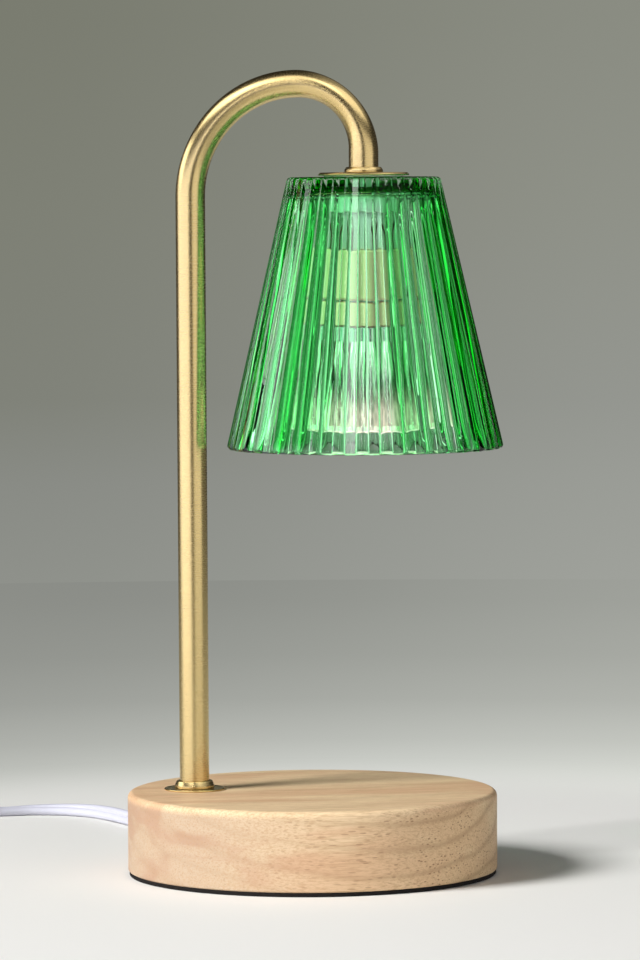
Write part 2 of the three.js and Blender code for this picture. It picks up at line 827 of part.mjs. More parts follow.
/** The flex inside the base, from the relief through the saddle, and its cores into the terminal. */
function makeInnerFlex() {
  const start = baseRadius + clearance + reliefCollarThickness + reliefTailLength - cordInRelief - clearance;
  const end = terminalOuter + coreSplit;
  const flat = new Route([fromExit(start, 0, cordExitHeight), fromExit(end, 0, cordExitHeight)], [90, 90]);
  const cores = poles.map((side) => {
    const across = (side * terminalSpacing) / 2;
    const up = (side * (cordWidth - cordThickness)) / 2;
    const points = [
      fromExit(end + coreSplit, 0, cordExitHeight + up),
      fromExit(end, 0, cordExitHeight + up),
      fromExit(terminalOuter + coreSplit / 3, across, terminalBore),
      fromExit(terminalOuter - overrun - coreInTube, across, terminalBore),
    ];
    return along(new Route(points), circleShape(coreRadius, leadSides));
  });
  add(lamp, "flex_inside", join(along(flat, cordSection()), ...cores), whitePlastic);
}

/** Stations on the arm's centreline, moved sideways: up the pole, over the two bends and down to the head. */
function archStations(sideways, low, high) {
  const stations = [new THREE.Vector3(poleX, sideways, low)];
  for (let i = 0; i <= poleBendSteps; i += 1) {
    const angle = (Math.PI / 2) * (i / poleBendSteps);
    const up = armApex - poleBendHeight * (1 - Math.sin(angle));
    stations.push(new THREE.Vector3(crownX - poleBendWidth * Math.cos(angle), sideways, up));
  }
  for (let i = 1; i <= headBendSteps; i += 1) {
    const angle = (Math.PI / 2) * (i / headBendSteps);
    const up = armApex - headBendHeight * (1 - Math.cos(angle));
    stations.push(new THREE.Vector3(crownX + headBendWidth * Math.sin(angle), sideways, up));
  }
  return [...stations, new THREE.Vector3(headX, sideways, high)];
}

/** How much the tube is flattened at each station of the arch: most in the middle of the tight bend. */
function archFlatShares() {
  const shares = [0];
  for (let i = 0; i <= poleBendSteps; i += 1) {
    shares.push(crownFlatShare * (i / poleBendSteps));
  }
  for (let i = 1; i <= headBendSteps; i += 1) {
    const done = i / headBendSteps;
    shares.push(crownFlatShare * (1 - done) + headBendFlatShare * Math.sin(Math.PI * done));
  }
  return [...shares, 0];
}

/** A collar with a rounded shoulder that the tube stands in. */
function collar(radius, height, low) {
  const inner = armRadius + clearance;
  const top = low + height;
  return turned(
    [
      [inner, low],
      [radius, low],
      ...arc(radius - collarRound, top - collarRound, collarRound, 0, 90, edgeSteps),
      [inner, top],
      [inner, low],
    ],
    roundSides,
  );
}

function makeArm() {
  const section = circleShape(armRadius, roundSides);
  section.holes.push(circleShape(armRadius - armWall, smallSides));
  const route = new Route(archStations(0, flangeTop, discTop), null, archFlatShares());
  add(lamp, "arm_tube", along(route, section), brass);
  const flange = turned(
    [
      [nippleHole, baseTop],
      [flangeRadius - flangeEdge, baseTop],
      [flangeRadius, baseTop + flangeThickness / 2],
      [flangeRadius - flangeEdge, flangeTop],
      [nippleHole, flangeTop],
      [nippleHole, baseTop],
    ],
    roundSides,
  );
  add(foot, "foot_flange", flange, brass);
  add(foot, "foot_collar", collar(footCollarRadius, footCollarHeight, flangeTop), brass);
  const washerFloor = pocketRoof - footWasherThickness;
  add(foot, "foot_washer", ring(nippleHole, footWasherRadius, washerFloor, pocketRoof, roundSides), steel);
  const nutFloor = washerFloor - nutThickness;
  add(foot, "foot_nut", hexNut(nutFloor), steel);
  const nippleFloor = nutFloor - footNippleProud;
  const nipple = ring(nippleRadius - nippleWall, nippleRadius, nippleFloor, flangeTop + footNippleInTube);
  add(foot, "foot_nipple", nipple, steel);
}

/** The two leads, each from its terminal tube up through the arm and down into the lampholder. */
function makeLeads() {
  const nippleFloor = pocketRoof - footWasherThickness - nutThickness - footNippleProud;
  const turnHeight = (padThickness + nippleFloor) / 2;
  poles.forEach((side) => {
    const across = (side * terminalSpacing) / 2;
    const spread = side * leadSpread;
    const lowRun = smoothRoute(
      [
        fromExit(terminalInner + overrun + coreInTube, across, terminalBore),
        fromExit(terminalInner - overrun, across, terminalBore),
        fromExit(terminalInner - 2 * coreInTube, across, (terminalBore + turnHeight) / 2),
        new THREE.Vector3(poleX + flangeRadius * 3, spread * 1.5, turnHeight),
        new THREE.Vector3(poleX + flangeRadius * 1.5, spread, turnHeight),
        new THREE.Vector3(poleX + leadSpread * 2, spread, turnHeight),
        new THREE.Vector3(poleX, spread, nippleFloor),
      ],
      16,
    );
    const bow = smoothRoute(
      [
        new THREE.Vector3(headX, spread, headNippleEnd),
        new THREE.Vector3(headX + spread, spread, headNippleEnd - 2 * coreRadius),
        new THREE.Vector3(headX + side * leadHoleOffset * 0.6, spread / 2, headNippleEnd - 3.4 * coreRadius),
        new THREE.Vector3(headX + side * leadHoleOffset, 0, headNippleEnd - 6.5 * coreRadius),
        new THREE.Vector3(headX + side * leadHoleOffset, 0, holderTop),
        new THREE.Vector3(headX + side * leadHoleOffset, 0, holderTop - leadInHolder),
      ],
      12,
    );
    const arch = archStations(spread, nippleFloor, headNippleEnd);
    const stations = [...lowRun.stations.slice(0, -1), ...arch.slice(0, -1), ...bow.stations];
    const name = side < 0 ? "live_lead" : "neutral_lead";
    add(lamp, name, along(new Route(stations), circleShape(coreRadius, leadSides)), brownSleeve);
  });
}

function shadeRadius(height) {
  return THREE.MathUtils.lerp(shadeRimRadius, shadeTopRadius, (height - shadeRim) / shadeHeight);
}

/** The shade's outside: a cone turned in fine steps, its wall drawn in between the ribs. */
function ribbedCone() {
  const rimHeight = shadeRim + shadeRimRound;
  const topHeight = shadeTop - shadeTopRound;
  const rimSlope = shadeRimRound * (1 - Math.SQRT1_2);
  const topSlope = shadeTopRound * (1 - Math.SQRT1_2);
  const rows = [
    [0, shadeRim, 0],
    [shadeRadius(shadeRim) - shadeRimRound, shadeRim, ribFadeShares.rim],
    [shadeRadius(rimHeight) - rimSlope, shadeRim + rimSlope, ribFadeShares.rimRound],
    [shadeRadius(rimHeight), rimHeight, ribFadeShares.wall],
    [shadeRadius(topHeight), topHeight, ribFadeShares.wall],
    [shadeRadius(topHeight) - topSlope, shadeTop - topSlope, ribFadeShares.topRound],
    [shadeRadius(topHeight) - shadeTopRound, shadeTop, ribFadeShares.top],
    [0, shadeTop, 0],
  ];
  const ribSteps = ribPlaceShares.length;
  const profile = rows.map(([radius, height]) => new THREE.Vector2(radius, height));
  const geometry = new THREE.LatheGeometry(profile, ribCount * ribSteps);
  const place = geometry.attributes.position;
  for (let i = 0; i < place.count; i += 1) {
    const column = Math.floor(i / rows.length) % (ribCount * ribSteps);
    const [radius, height, fade] = rows[i % rows.length];
    const rib = Math.floor(column / ribSteps);
    const angle = (2 * Math.PI * (rib + ribPlaceShares[column % ribSteps])) / ribCount;
    const drawnIn = ribDepthShare * fade * (1 - ribHeightShares[column % ribSteps]);
    const drawn = radius * (1 - drawnIn);
    place.setXYZ(i, drawn * Math.cos(angle), drawn * Math.sin(angle), height);
  }
  return closed(geometry);
}

function makeShade() {
  const innerRadius = (height) => shadeRadius(height) * (1 - ribDepthShare) - shadeWall;
  const low = shadeRim - overrun;
  const bend = shadeCeiling - shadeInnerRound;
  const hollow = [
    [0, low],
    [innerRadius(low), low],
    ...arc(innerRadius(bend) - shadeInnerRound, bend, shadeInnerRound, 0, 90),
    [0, shadeCeiling],
  ];
  const bore = rod(nippleHole, shadeCeiling - overrun, shadeTop + overrun);
  add(head, "glass_shade", cut(ribbedCone(), turned(hollow, shadeBoreSides), bore), greenGlass);
}

function makeHeadTrim() {
  const disc = turned(
    [
      [nippleHole, discFloor],
      [headDiscRadius - headDiscEdge, discFloor],
      [headDiscRadius, discFloor + headDiscEdge],
      [headDiscRadius - 2 * headDiscEdge, discTop],
      [nippleHole, discTop],
      [nippleHole, discFloor],
    ],
    headSides,
  );
  add(head, "head_disc", disc, brass);
  add(head, "head_collar", collar(headCollarRadius, headCollarHeight, discTop), brass);
  add(head, "upper_gasket", ring(nippleHole, upperGasketRadius, shadeTop, discFloor, roundSides), silicone);
  const inside = cupRadius - lowerGasketInset;
  add(head, "lower_gasket", ring(nippleHole, inside, cupTop, shadeCeiling, roundSides), silicone);
  const cupFloor = cupTop - cupHeight;
  const cup = turned(
    [
      [nippleHole, cupTop],
      ...arc(cupRadius - cupWall, cupTop - cupWall, cupWall, 90, 0, edgeSteps),
      [cupRadius, cupFloor],
      [cupRadius - cupWall, cupFloor],
      [cupRadius - cupWall, shadeNutTop],
      [nippleHole, shadeNutTop],
      [nippleHole, cupTop],
    ],
    headSides,
  );
  add(head, "clamp_cup", cup, steel);
  add(head, "shade_nut", hexNut(shadeNutTop - nutThickness), steel);
  add(head, "bracket_nut", hexNut(bracketNutTop - nutThickness), steel);
  const nippleTop = armApex - headBendHeight;
  add(head, "head_nipple", ring(nippleRadius - nippleWall, nippleRadius, headNippleEnd, nippleTop), steel);
}

/** The strap: a crown round the nipple, two legs, and two feet turned in on the holder. */
function makeBracket() {
  const half = strapSpan / 2;
  const inner = half - strapThickness;
  const footTop = holderTop + strapThickness;
  const footEnd = half - strapFoot;
  const bendIn = strapBend - strapThickness;
  const outside = [
    [footEnd, holderTop],
    ...arc(half - bendIn, holderTop + bendIn, bendIn, 270, 360, 2),
    ...arc(half - strapBend, crownTop - strapBend, strapBend, 0, 90),
  ];
  const inside = [
    ...arc(inner - bendIn, crownTop - strapThickness - bendIn, bendIn, 90, 0),
    [inner, footTop],
    [footEnd, footTop],
  ];
  const mirrored = (points) => points.map(([y, z]) => [-y, z]).reverse();
  const outline = [...outside, ...mirrored(outside), ...mirrored(inside), ...inside];
  const shape = new THREE.Shape(outline.map(([y, z]) => new THREE.Vector2(y, z)));
  const strap = extruded(shape, -strapWidth / 2, strapWidth / 2);
  strap.applyMatrix4(new THREE.Matrix4().makeBasis(axisY, axisZ, axisX));
  const crownHole = rod(nippleHole, bracketNutTop - overrun, crownTop + overrun);
  const footHoles = poles.map((side) =>
    moved(
      rod(holderScrewRadius + clearance, holderTop - overrun, footTop + overrun, screwSides),
      0,
      side * holderScrewOffset,
      0,
    ),
  );
  add(head, "holder_bracket", cut(strap, crownHole, ...footHoles), steel);
}

/** The ceramic holder, with a keyhole slot for each pin that opens into a chamber behind its face. */
function makeHolder() {
  const faceTop = holderFloor + holderFace;
  const pinTop = bulbTop + pinNeckLength + pinHeadLength;
  const chamberTop = pinTop + clearance + contactThickness;
  const swing = bulbTwistDegrees / 2;
  const profile = [
    [0, holderFloor],
    [holderRadius - holderEdge, holderFloor],
    [holderRadius, holderFloor + holderEdge],
    [holderRadius, holderTop - holderEdge],
    [holderRadius - holderEdge, holderTop],
    [0, holderTop],
  ];
  const tools = [];
  const half = (turnDegrees) => {
    const chamber = arcSlot(pinOrbit, pinHeadRadius + clearance, turnDegrees - swing, turnDegrees + swing);
    const slot = arcSlot(pinOrbit, pinNeckRadius + clearance, turnDegrees - swing, turnDegrees + swing);
    tools.push(extruded(chamber, faceTop, chamberTop, 4));
    tools.push(extruded(slot, holderFloor - overrun, faceTop + overrun, 4));
    const entry = THREE.MathUtils.degToRad(turnDegrees - swing);
    const keyhole = rod(pinHeadRadius + clearance, holderFloor - overrun, faceTop + overrun, smallSides);
    tools.push(moved(keyhole, pinOrbit * Math.cos(entry), pinOrbit * Math.sin(entry), 0));
  };
  half(0);
  half(180);
  for (const side of poles) {
    const below = holderFloor - overrun;
    const screwHole = rod(holderScrewRadius + clearance, below, holderTop + overrun, screwSides);
    const sinkTop = holderFloor + holderScrewSink;
    const sink = rod(holderScrewHeadRadius + clearance, below, sinkTop, smallSides);
    const leadHole = rod(coreRadius + clearance, holderTop - leadHoleDepth, holderTop + overrun, screwSides);
    tools.push(moved(screwHole, 0, side * holderScrewOffset, 0));
    tools.push(moved(sink, 0, side * holderScrewOffset, 0));
    tools.push(moved(leadHole, side * leadHoleOffset, 0, 0));
  }
  add(head, "lampholder_body", cut(turned(profile, headSides), ...tools), ceramic);
  poles.forEach((side, i) => {
    const seat = holderFloor + holderScrewSink;
    const length = holderTop + strapThickness + holderScrewProud - seat;
    const geometry = screw(holderScrewHeadRadius, holderScrewHeadHeight, holderScrewRadius, length);
    add(head, `holder_screw_${i + 1}`, geometry, steel).position.set(0, side * holderScrewOffset, seat);
    const middle = side < 0 ? 180 : 0;
    const reach = pinHeadRadius + clearance - contactInset;
    const blade = arcSlot(pinOrbit, reach, middle - swing, middle + swing);
    const contact = extruded(blade, chamberTop - contactThickness, chamberTop, 4);
    add(head, `holder_contact_${i + 1}`, contact, brass);
  });
}

function makeBulb() {
  const neckTop = bulbBaseFloor - clearance;
  const plugFloor = bulbBaseFloor - bulbPlugHeight;
  const base = [
    [0, plugFloor],
    [bulbPlugRadius, plugFloor],
    [bulbPlugRadius, bulbBaseFloor],
    [bulbBaseRadius, bulbBaseFloor],
    [bulbBaseRadius, bulbTop - bulbBaseEdge],
    [bulbBaseRadius - bulbBaseEdge, bulbTop],
    [0, bulbTop],
  ];
  add(head, "bulb_base", turned(base, roundSides), ceramic);
  const neckFloor = neckTop - reflectorNeckHeight;
  const bowlHeight = neckFloor - bulbFace - reflectorRim;
  const vertex = bowlHeight * reflectorCurveShare;
  const bowl = (radius, neck, steps) =>
    Array.from({ length: steps + 1 }, (_, i) => {
      const down = i / steps;
      const curve = (depth) => Math.sqrt(vertex + depth * bowlHeight);
      const share = (curve(down) - curve(0)) / (curve(1) - curve(0));
      return [THREE.MathUtils.lerp(neck, radius, share), neckFloor - down * bowlHeight];
    });
  const rimInside = reflectorRimRadius - lensRebate;
  const lensTop = bulbFace + lensDrop + lensThickness;
  const reflector = [
    [reflectorNeckRadius, neckTop],
    ...bowl(reflectorRimRadius, reflectorNeckRadius, reflectorBowlSteps),
    [reflectorRimRadius, bulbFace],
    [rimInside, bulbFace],
    [rimInside, lensTop],
    ...bowl(rimInside - reflectorWall, reflectorNeckRadius - reflectorWall, reflectorInsideSteps).reverse(),
    [reflectorNeckRadius - reflectorWall, neckTop],
    [reflectorNeckRadius, neckTop],
  ];
  add(head, "bulb_reflector", turned(reflector, bulbSides), silvered);
  const lens = rod(rimInside - clearance, bulbFace + lensDrop, lensTop - clearance, bulbSides);
  add(head, "bulb_lens", lens, clearGlass);
  const capsuleFloor = plugFloor - capsuleLength;
  const capsule = [
    [0, capsuleFloor],
    ...arc(0, capsuleFloor + capsuleRadius, capsuleRadius, 300, 360),
    [capsuleRadius, plugFloor],
    [0, plugFloor],
  ];
  add(head, "bulb_capsule", turned(capsule, smallSides), clearGlass);
  [0, Math.PI].forEach((turn, i) => {
    const neckEnd = bulbTop + pinNeckLength;
    const pin = turned(
      [
        [0, bulbTop],
        [pinNeckRadius, bulbTop],
        [pinNeckRadius, neckEnd],
        [pinHeadRadius, neckEnd],
        [pinHeadRadius, neckEnd + pinHeadLength],
        [0, neckEnd + pinHeadLength],
      ],
      2 * leadSides,
    );
    const angle = turn + THREE.MathUtils.degToRad(bulbTwistDegrees / 2);
    const mesh = add(head, `bulb_pin_${i + 1}`, pin, steel);
    mesh.position.set(pinOrbit * Math.cos(angle), pinOrbit * Math.sin(angle), 0);
  });
}

const freeCord = smoothRoute(
  cordRoute.map((place) => new THREE.Vector3(...place)),
  cordRouteSteps,
  cordRouteTwistDegrees,
);
const cordEnd = freeCord.stations[cordRouteSteps];
const dimmerX = cordEnd.x + dimmerCordInside - dimmerLength / 2;
const dimmerY = cordEnd.y;
const dimmer = new THREE.Group();
dimmer.position.set(dimmerX, dimmerY, floorGap);
lamp.add(dimmer);

/** The dimmer's outline from above: a long body that narrows to a neck round the cord at each end. */
function dimmerOutline() {
  const end = dimmerLength / 2;
  const side = dimmerWidth / 2;
  const neck = dimmerNeckWidth / 2;
  const middle = (end + dimmerShoulder) / 2;
  const shape = new THREE.Shape();
  shape.moveTo(end, -neck);
  shape.lineTo(end, neck);
  shape.bezierCurveTo(middle, neck, middle, side, dimmerShoulder, side);
  shape.lineTo(-dimmerShoulder, side);
  shape.bezierCurveTo(-middle, side, -middle, neck, -end, neck);
  shape.lineTo(-end, -neck);
  shape.bezierCurveTo(-middle, -neck, -middle, -side, -dimmerShoulder, -side);
  shape.lineTo(dimmerShoulder, -side);
  shape.bezierCurveTo(middle, -side, middle, -neck, end, -neck);
  return shape;
}

const spindleHeight = dimmerHeight + wheelProud - wheelRadius;
const boardTop = dimmerWall + boardThickness;

function makeDimmerShells() {
  const body = softExtruded(dimmerOutline(), 0, dimmerHeight, dimmerEdge);
  const reach = dimmerLength / 2 + overrun;
  const half = dimmerCavityLength / 2;
  const inside = dimmerWidth / 2 - dimmerWall;
  const cavity = box(-half, half, -inside, inside, dimmerWall, dimmerHeight - dimmerWall);
  const cordSlot = box(
    -reach,
    reach,
    -cordWidth / 2 - clearance,
    cordWidth / 2 + clearance,
    dimmerParting - cordThickness / 2 - clearance,
    dimmerParting + cordThickness / 2 + clearance,
  );
  const lowerHalf = box(-reach, reach, -reach, reach, -overrun, dimmerParting);
  const upperHalf = box(-reach, reach, -reach, reach, dimmerParting, dimmerHeight + overrun);
  const bossTop = dimmerWall + dimmerBossHeight;
  const atScrews = (geometry) =>
    poles.map((side) => moved(geometry, side * dimmerScrewX, side * dimmerScrewY, 0));
  const lowerBosses = atScrews(rod(dimmerBossRadius, dimmerWall / 2, bossTop, smallSides));
  const upperBosses = atScrews(
    rod(dimmerBossRadius, bossTop + clearance, dimmerHeight - dimmerWall / 2, smallSides),
  );
  const screwHoles = atScrews(
    rod(dimmerScrewRadius + clearance, -overrun, bossTop + dimmerScrewBite + 2 * clearance, screwSides),
  );
  const sinks = atScrews(rod(dimmerScrewHeadRadius + clearance, -overrun, dimmerScrewSink, smallSides));
  const bearingY = -wheelThickness / 2 - potFromWheel - bearingThickness;
  const bearingHalf = bearingWidth / 2;
  const bearing = box(
    -bearingHalf,
    bearingHalf,
    bearingY,
    bearingY + bearingThickness,
    dimmerWall / 2,
    dimmerParting + cordThickness,
  );
  const saddleRadius = spindleRadius + runningClearance;
  const cradle = lying(rod(saddleRadius, -dimmerWidth, 0, smallSides), spindleHeight);
  const cradleMouth = box(-saddleRadius, saddleRadius, -dimmerWidth, 0, spindleHeight, dimmerHeight);
  const lowerShell = cut(common(body, lowerHalf), cavity, cordSlot);
  const base = cut(join(lowerShell, ...lowerBosses, bearing), ...screwHoles, ...sinks);
  add(dimmer, "dimmer_base", cut(base, cradle, cradleMouth), whitePlastic);
  const underCover = dimmerHeight - dimmerWall - spindleHeight;
  const wheelSlotHalf = Math.sqrt(wheelRadius ** 2 - underCover ** 2) + 2 * clearance;
  const wheelSlot = box(
    -wheelSlotHalf,
    wheelSlotHalf,
    -wheelThickness / 2 - 2 * clearance,
    wheelThickness / 2 + 2 * clearance,
    dimmerHeight - 2 * dimmerWall,
    dimmerHeight + overrun,
  );
  const upperShell = cut(common(body, upperHalf), cavity, cordSlot);
  const cover = cut(join(upperShell, ...upperBosses), ...screwHoles, wheelSlot);
  add(dimmer, "dimmer_cover", cover, whitePlastic);
  poles.forEach((side, i) => {
    const length = bossTop + clearance + dimmerScrewBite - dimmerScrewSink;
    const geometry = screw(dimmerScrewHeadRadius, dimmerScrewHeadHeight, dimmerScrewRadius, length);
    const name = `dimmer_screw_${i + 1}`;
    const place = [side * dimmerScrewX, side * dimmerScrewY, dimmerScrewSink];
    add(dimmer, name, geometry, steel).position.set(...place);
  });
}

/** A geometry made about Z, laid across the dimmer at a height, its own height running towards +Y. */
function lying(geometry, height) {
  return geometry.clone().rotateX(-Math.PI / 2).translate(0, 0, height);
}

function makeDimmerInside() {
  const wheelShape = new THREE.Shape(
    Array.from({ length: 2 * wheelTeeth }, (_, i) => {
      const radius = wheelRadius - (i % 2) * wheelToothDepth;
      const angle = (Math.PI * i) / wheelTeeth;
      return new THREE.Vector2(radius * Math.cos(angle), radius * Math.sin(angle));
    }),
  );
  wheelShape.holes.push(circleShape(spindleRadius + runningClearance, smallSides));
  const wheel = extruded(wheelShape, -wheelThickness / 2, wheelThickness / 2);
  add(dimmer, "dimmer_wheel", lying(wheel, spindleHeight), greyPlastic);
  const spindle = rod(spindleRadius, -spindleLength / 2, spindleLength / 2, smallSides);
  add(dimmer, "dimmer_spindle", lying(spindle, spindleHeight), steel);
  const potY = wheelThickness / 2 + potFromWheel;
  const potTop = spindleHeight + potOverSpindle;
  const pot = box(-potWidth / 2, potWidth / 2, potY, potY + potThickness, boardTop, potTop);
  const potBore = lying(rod(spindleRadius + 2 * runningClearance, 0, dimmerWidth, smallSides), spindleHeight);
  add(dimmer, "dimmer_pot", cut(pot, potBore), greyPlastic);
  const boardEdge = dimmerWidth / 2 - dimmerWall - clearance;
  const nearEdge = clearance - wheelThickness / 2 - potFromWheel;
  const board = box(-boardLength / 2, boardLength / 2, nearEdge, boardEdge, dimmerWall, boardTop);
  add(dimmer, "dimmer_board", board, greenBoard);
}

const coilLayerPitch = cordThickness + coilLayerGap;
const coilX = dimmerX - dimmerLength / 2 - linkBendRadius + coilOuterRadius;
const coilY = dimmerY - coilFromDimmer;
const cordRest = floorGap + cordThickness / 2;

/** Height of the coil's cord after some turns: it climbs a layer in half a turn, where the spiral reverses. */
function coilHeight(turns) {
  let height = cordRest;
  for (let layer = 1; layer < coilLayers; layer += 1) {
    const sinceTurn = turns - (layer * coilTurns) / coilLayers;
    height += coilLayerPitch * THREE.MathUtils.smoothstep(sinceTurn, -coilClimbShare / 2, coilClimbShare / 2);
  }
  return height;
}

/** Radius of the coil's cord after some turns: the spiral runs in on one layer and out on the next. */
function coilRadius(turns) {
  const perLayer = coilTurns / coilLayers;
  const layer = Math.min(Math.floor(turns / perLayer), coilLayers - 1);
  const inLayer = turns - layer * perLayer;
  const inwards = layer % 2 === 0 ? inLayer : perLayer - inLayer;
  return coilOuterRadius - (cordWidth + coilSideGap) * inwards;
}

function coilStations() {
  const spiral = Array.from({ length: coilTurns * coilSteps + 1 }, (_, i) => {
    const turns = i / coilSteps;
    const angle = Math.PI + 2 * Math.PI * turns;
    const radius = coilRadius(turns);
    const [x, y] = [coilX + radius * Math.cos(angle), coilY + radius * Math.sin(angle)];
    return new THREE.Vector3(x, y, coilHeight(turns));
  });
  const lead = spiral[0].clone().add(new THREE.Vector3(0, cordWidth, 0));
  const trail = spiral[spiral.length - 1].clone().add(new THREE.Vector3(0, -cordWidth, 0));
  return [lead, ...spiral, trail];
}

/** Least distance from a point to a segment. */
function distanceToSegment(point, start, end) {
  const line = new THREE.Line3(start, end);
  return line.closestPointToPoint(point, true, new THREE.Vector3()).distanceTo(point);
}

/** Least gap between the coil's turns, from each section's points to the edges of those near it. */
function leastCoilGap(route, section) {
  const frames = route.computeFrenetFrames();
  const corners = section.getPoints();
  const sections = route.stations.map((place, i) =>
    corners.map((corner) =>
      place
        .clone()
        .addScaledVector(frames.normals[i], corner.x)
        .addScaledVector(frames.binormals[i], corner.y),
    ),
  );
  let least = Infinity;
  for (let i = 1; i < sections.length - 1; i += 1) {
    for (let j = i + coilSteps; j < sections.length - 1; j += coilSteps) {
      for (const [one, other] of [
        [sections[i], sections[j]],
        [sections[j], sections[i]],
      ]) {
        for (const point of one) {
          other.forEach((end, k) => {
            least = Math.min(least, distanceToSegment(point, other[(k + 1) % other.length], end));
          });
        }
      }
    }
  }
  return least;
}

function flatTwists(stations) {
  return stations.map(() => 0);
}

/** The cord between the dimmer and the coil: out of the dimmer, down, and round to the coil. */
function linkStations() {
  const bendX = coilX - coilOuterRadius + linkBendRadius;
  const start = dimmerX - dimmerLength / 2 + dimmerCordInside;
  const height = floorGap + dimmerParting;
  const stations = [
    new THREE.Vector3(start, dimmerY, height),
    new THREE.Vector3(start - dimmerCordInside, dimmerY, height),
  ];
  for (let i = 1; i <= linkBendSteps; i += 1) {
    const angle = (Math.PI / 2) * (1 + i / linkBendSteps);
    const fall = THREE.MathUtils.smoothstep(i, 0, linkBendSteps - 1);
    stations.push(
      new THREE.Vector3(
        bendX + linkBendRadius * Math.cos(angle),
        dimmerY - linkBendRadius + linkBendRadius * Math.sin(angle),
        THREE.MathUtils.lerp(height, cordRest, fall),
      ),
    );
  }
  stations.push(new THREE.Vector3(coilX - coilOuterRadius, coilY + cordWidth + clearance, cordRest));
  return stations;
}

const plugHeight = floorGap + plugThickness / 2;

/** The cord from the coil's top turn down to the plug. */
function tailStations() {
  const x = coilX - coilOuterRadius;
  const start = coilY - cordWidth - clearance;
  const end = coilY - plugDrop + clearance;
  const top = coilHeight(coilTurns);
  const heightShares = [0, 0, 0.04, 0.3, 0.72, 0.97, 1];
  const placeShares = [0, 0.3, 0.45, 0.62, 0.79, 0.92, 1];
  return placeShares.map(
    (share, i) =>
      new THREE.Vector3(
        x,
        THREE.MathUtils.lerp(start, end, share),
        THREE.MathUtils.lerp(top, plugHeight, heightShares[i]),
      ),
  );
}

function makeCords() {
  const section = cordSection();
  add(lamp, "cord_free", along(freeCord, section), whitePlastic);
  const link = new Route(linkStations(), flatTwists(linkStations()));
  add(lamp, "cord_link", along(link, section), whitePlastic);
  const coil = new Route(coilStations(), flatTwists(coilStations()));
  add(lamp, "cord_coil", along(coil, coilSection()), whitePlastic);
  const tail = new Route(tailStations(), flatTwists(tailStations()));
  add(lamp, "cord_tail", along(tail, section), whitePlastic);
  const cords = freeCord.span() + link.span() + coil.span() + tail.span();
  const length = cords + dimmerLength - 2 * dimmerCordInside;
  console.log(`Least gap between the coil's turns: ${leastCoilGap(coil, coilSection()).toFixed(2)} mm`);
  console.log(`Cord from the base to the plug: ${length.toFixed(0)} mm, coil ${coil.span().toFixed(0)} mm`);
}

/** The plug's body seen from above: a square front that rounds in to a narrow tail. */
function plugOutline() {
  const side = plugWidth / 2;
  const tail = plugTailWidth / 2;
  const shoulder = -plugTailLength;
  const middle = (shoulder - plugLength) / 2;
  const shape = new THREE.Shape();
  shape.moveTo(-tail, 0);
  shape.lineTo(-tail, shoulder);
  shape.bezierCurveTo(-tail, (shoulder + middle) / 2, -side, (shoulder + middle) / 2, -side, middle);
  shape.lineTo(-side, -plugLength);
  shape.lineTo(side, -plugLength);
  shape.lineTo(side, middle);
  shape.bezierCurveTo(side, (shoulder + middle) / 2, tail, (shoulder + middle) / 2, tail, shoulder);
  shape.lineTo(tail, 0);
  return shape;
}

function makePlug() {
  const plug = new THREE.Group();
  plug.position.set(coilX - coilOuterRadius, coilY - plugDrop, floorGap);
  lamp.add(plug);
  const body = softExtruded(plugOutline(), 0, plugThickness, plugEdge);
  const blades = [
    ["plug_blade_live", -1, liveBladeWidth],
    ["plug_blade_neutral", 1, neutralBladeWidth],
  ];
  const middle = plugThickness / 2;
  const sockets = blades.map(([, side, width]) => {
    const x = (side * bladeSpacing) / 2;
    const halfThick = bladeThickness / 2 + clearance;
    const halfWide = width / 2 + clearance;
    const root = -plugLength + bladeRoot + clearance;
    const [low, high] = [middle - halfWide, middle + halfWide];
    return box(x - halfThick, x + halfThick, -plugLength - overrun, root, low, high);
  });
  add(plug, "plug_body", cut(body, ...sockets), whitePlastic);
  for (const [name, side, width] of blades) {
    const shape = new THREE.Shape(
      [
        [bladeRoot, -width / 2],
        [bladeRoot, width / 2],
        [bladeTip - bladeLength, width / 2],
        [-bladeLength, width / 2 - bladeTip],
        [-bladeLength, bladeTip - width / 2],
        [bladeTip - bladeLength, -width / 2],
      ].map(([y, z]) => new THREE.Vector2(y, z)),
    );
    const hole = new THREE.Path();
    hole.absarc(bladeHoleFromTip - bladeLength, 0, bladeHoleRadius, 0, 2 * Math.PI, true);
    shape.holes.push(hole);
    const blade = extruded(shape, -bladeThickness / 2, bladeThickness / 2, cornerSteps + 1);
    blade.applyMatrix4(new THREE.Matrix4().makeBasis(axisY, axisZ, axisX));
    add(plug, name, blade, brass).position.set((side * bladeSpacing) / 2, -plugLength, middle);
  }
}

makeBase();
makeBallast();
makeRelief();
makeSaddle();
makeTerminal();
makeInnerFlex();
makeArm();
makeLeads();
makeShade();
makeHeadTrim();
makeBracket();
makeHolder();
makeBulb();
makeDimmerShells();
makeDimmerInside();
makeCords();
makePlug();

export default lamp;
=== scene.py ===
"""Candle warmer lamp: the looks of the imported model, laid out as an add-on and run as a script."""

import math

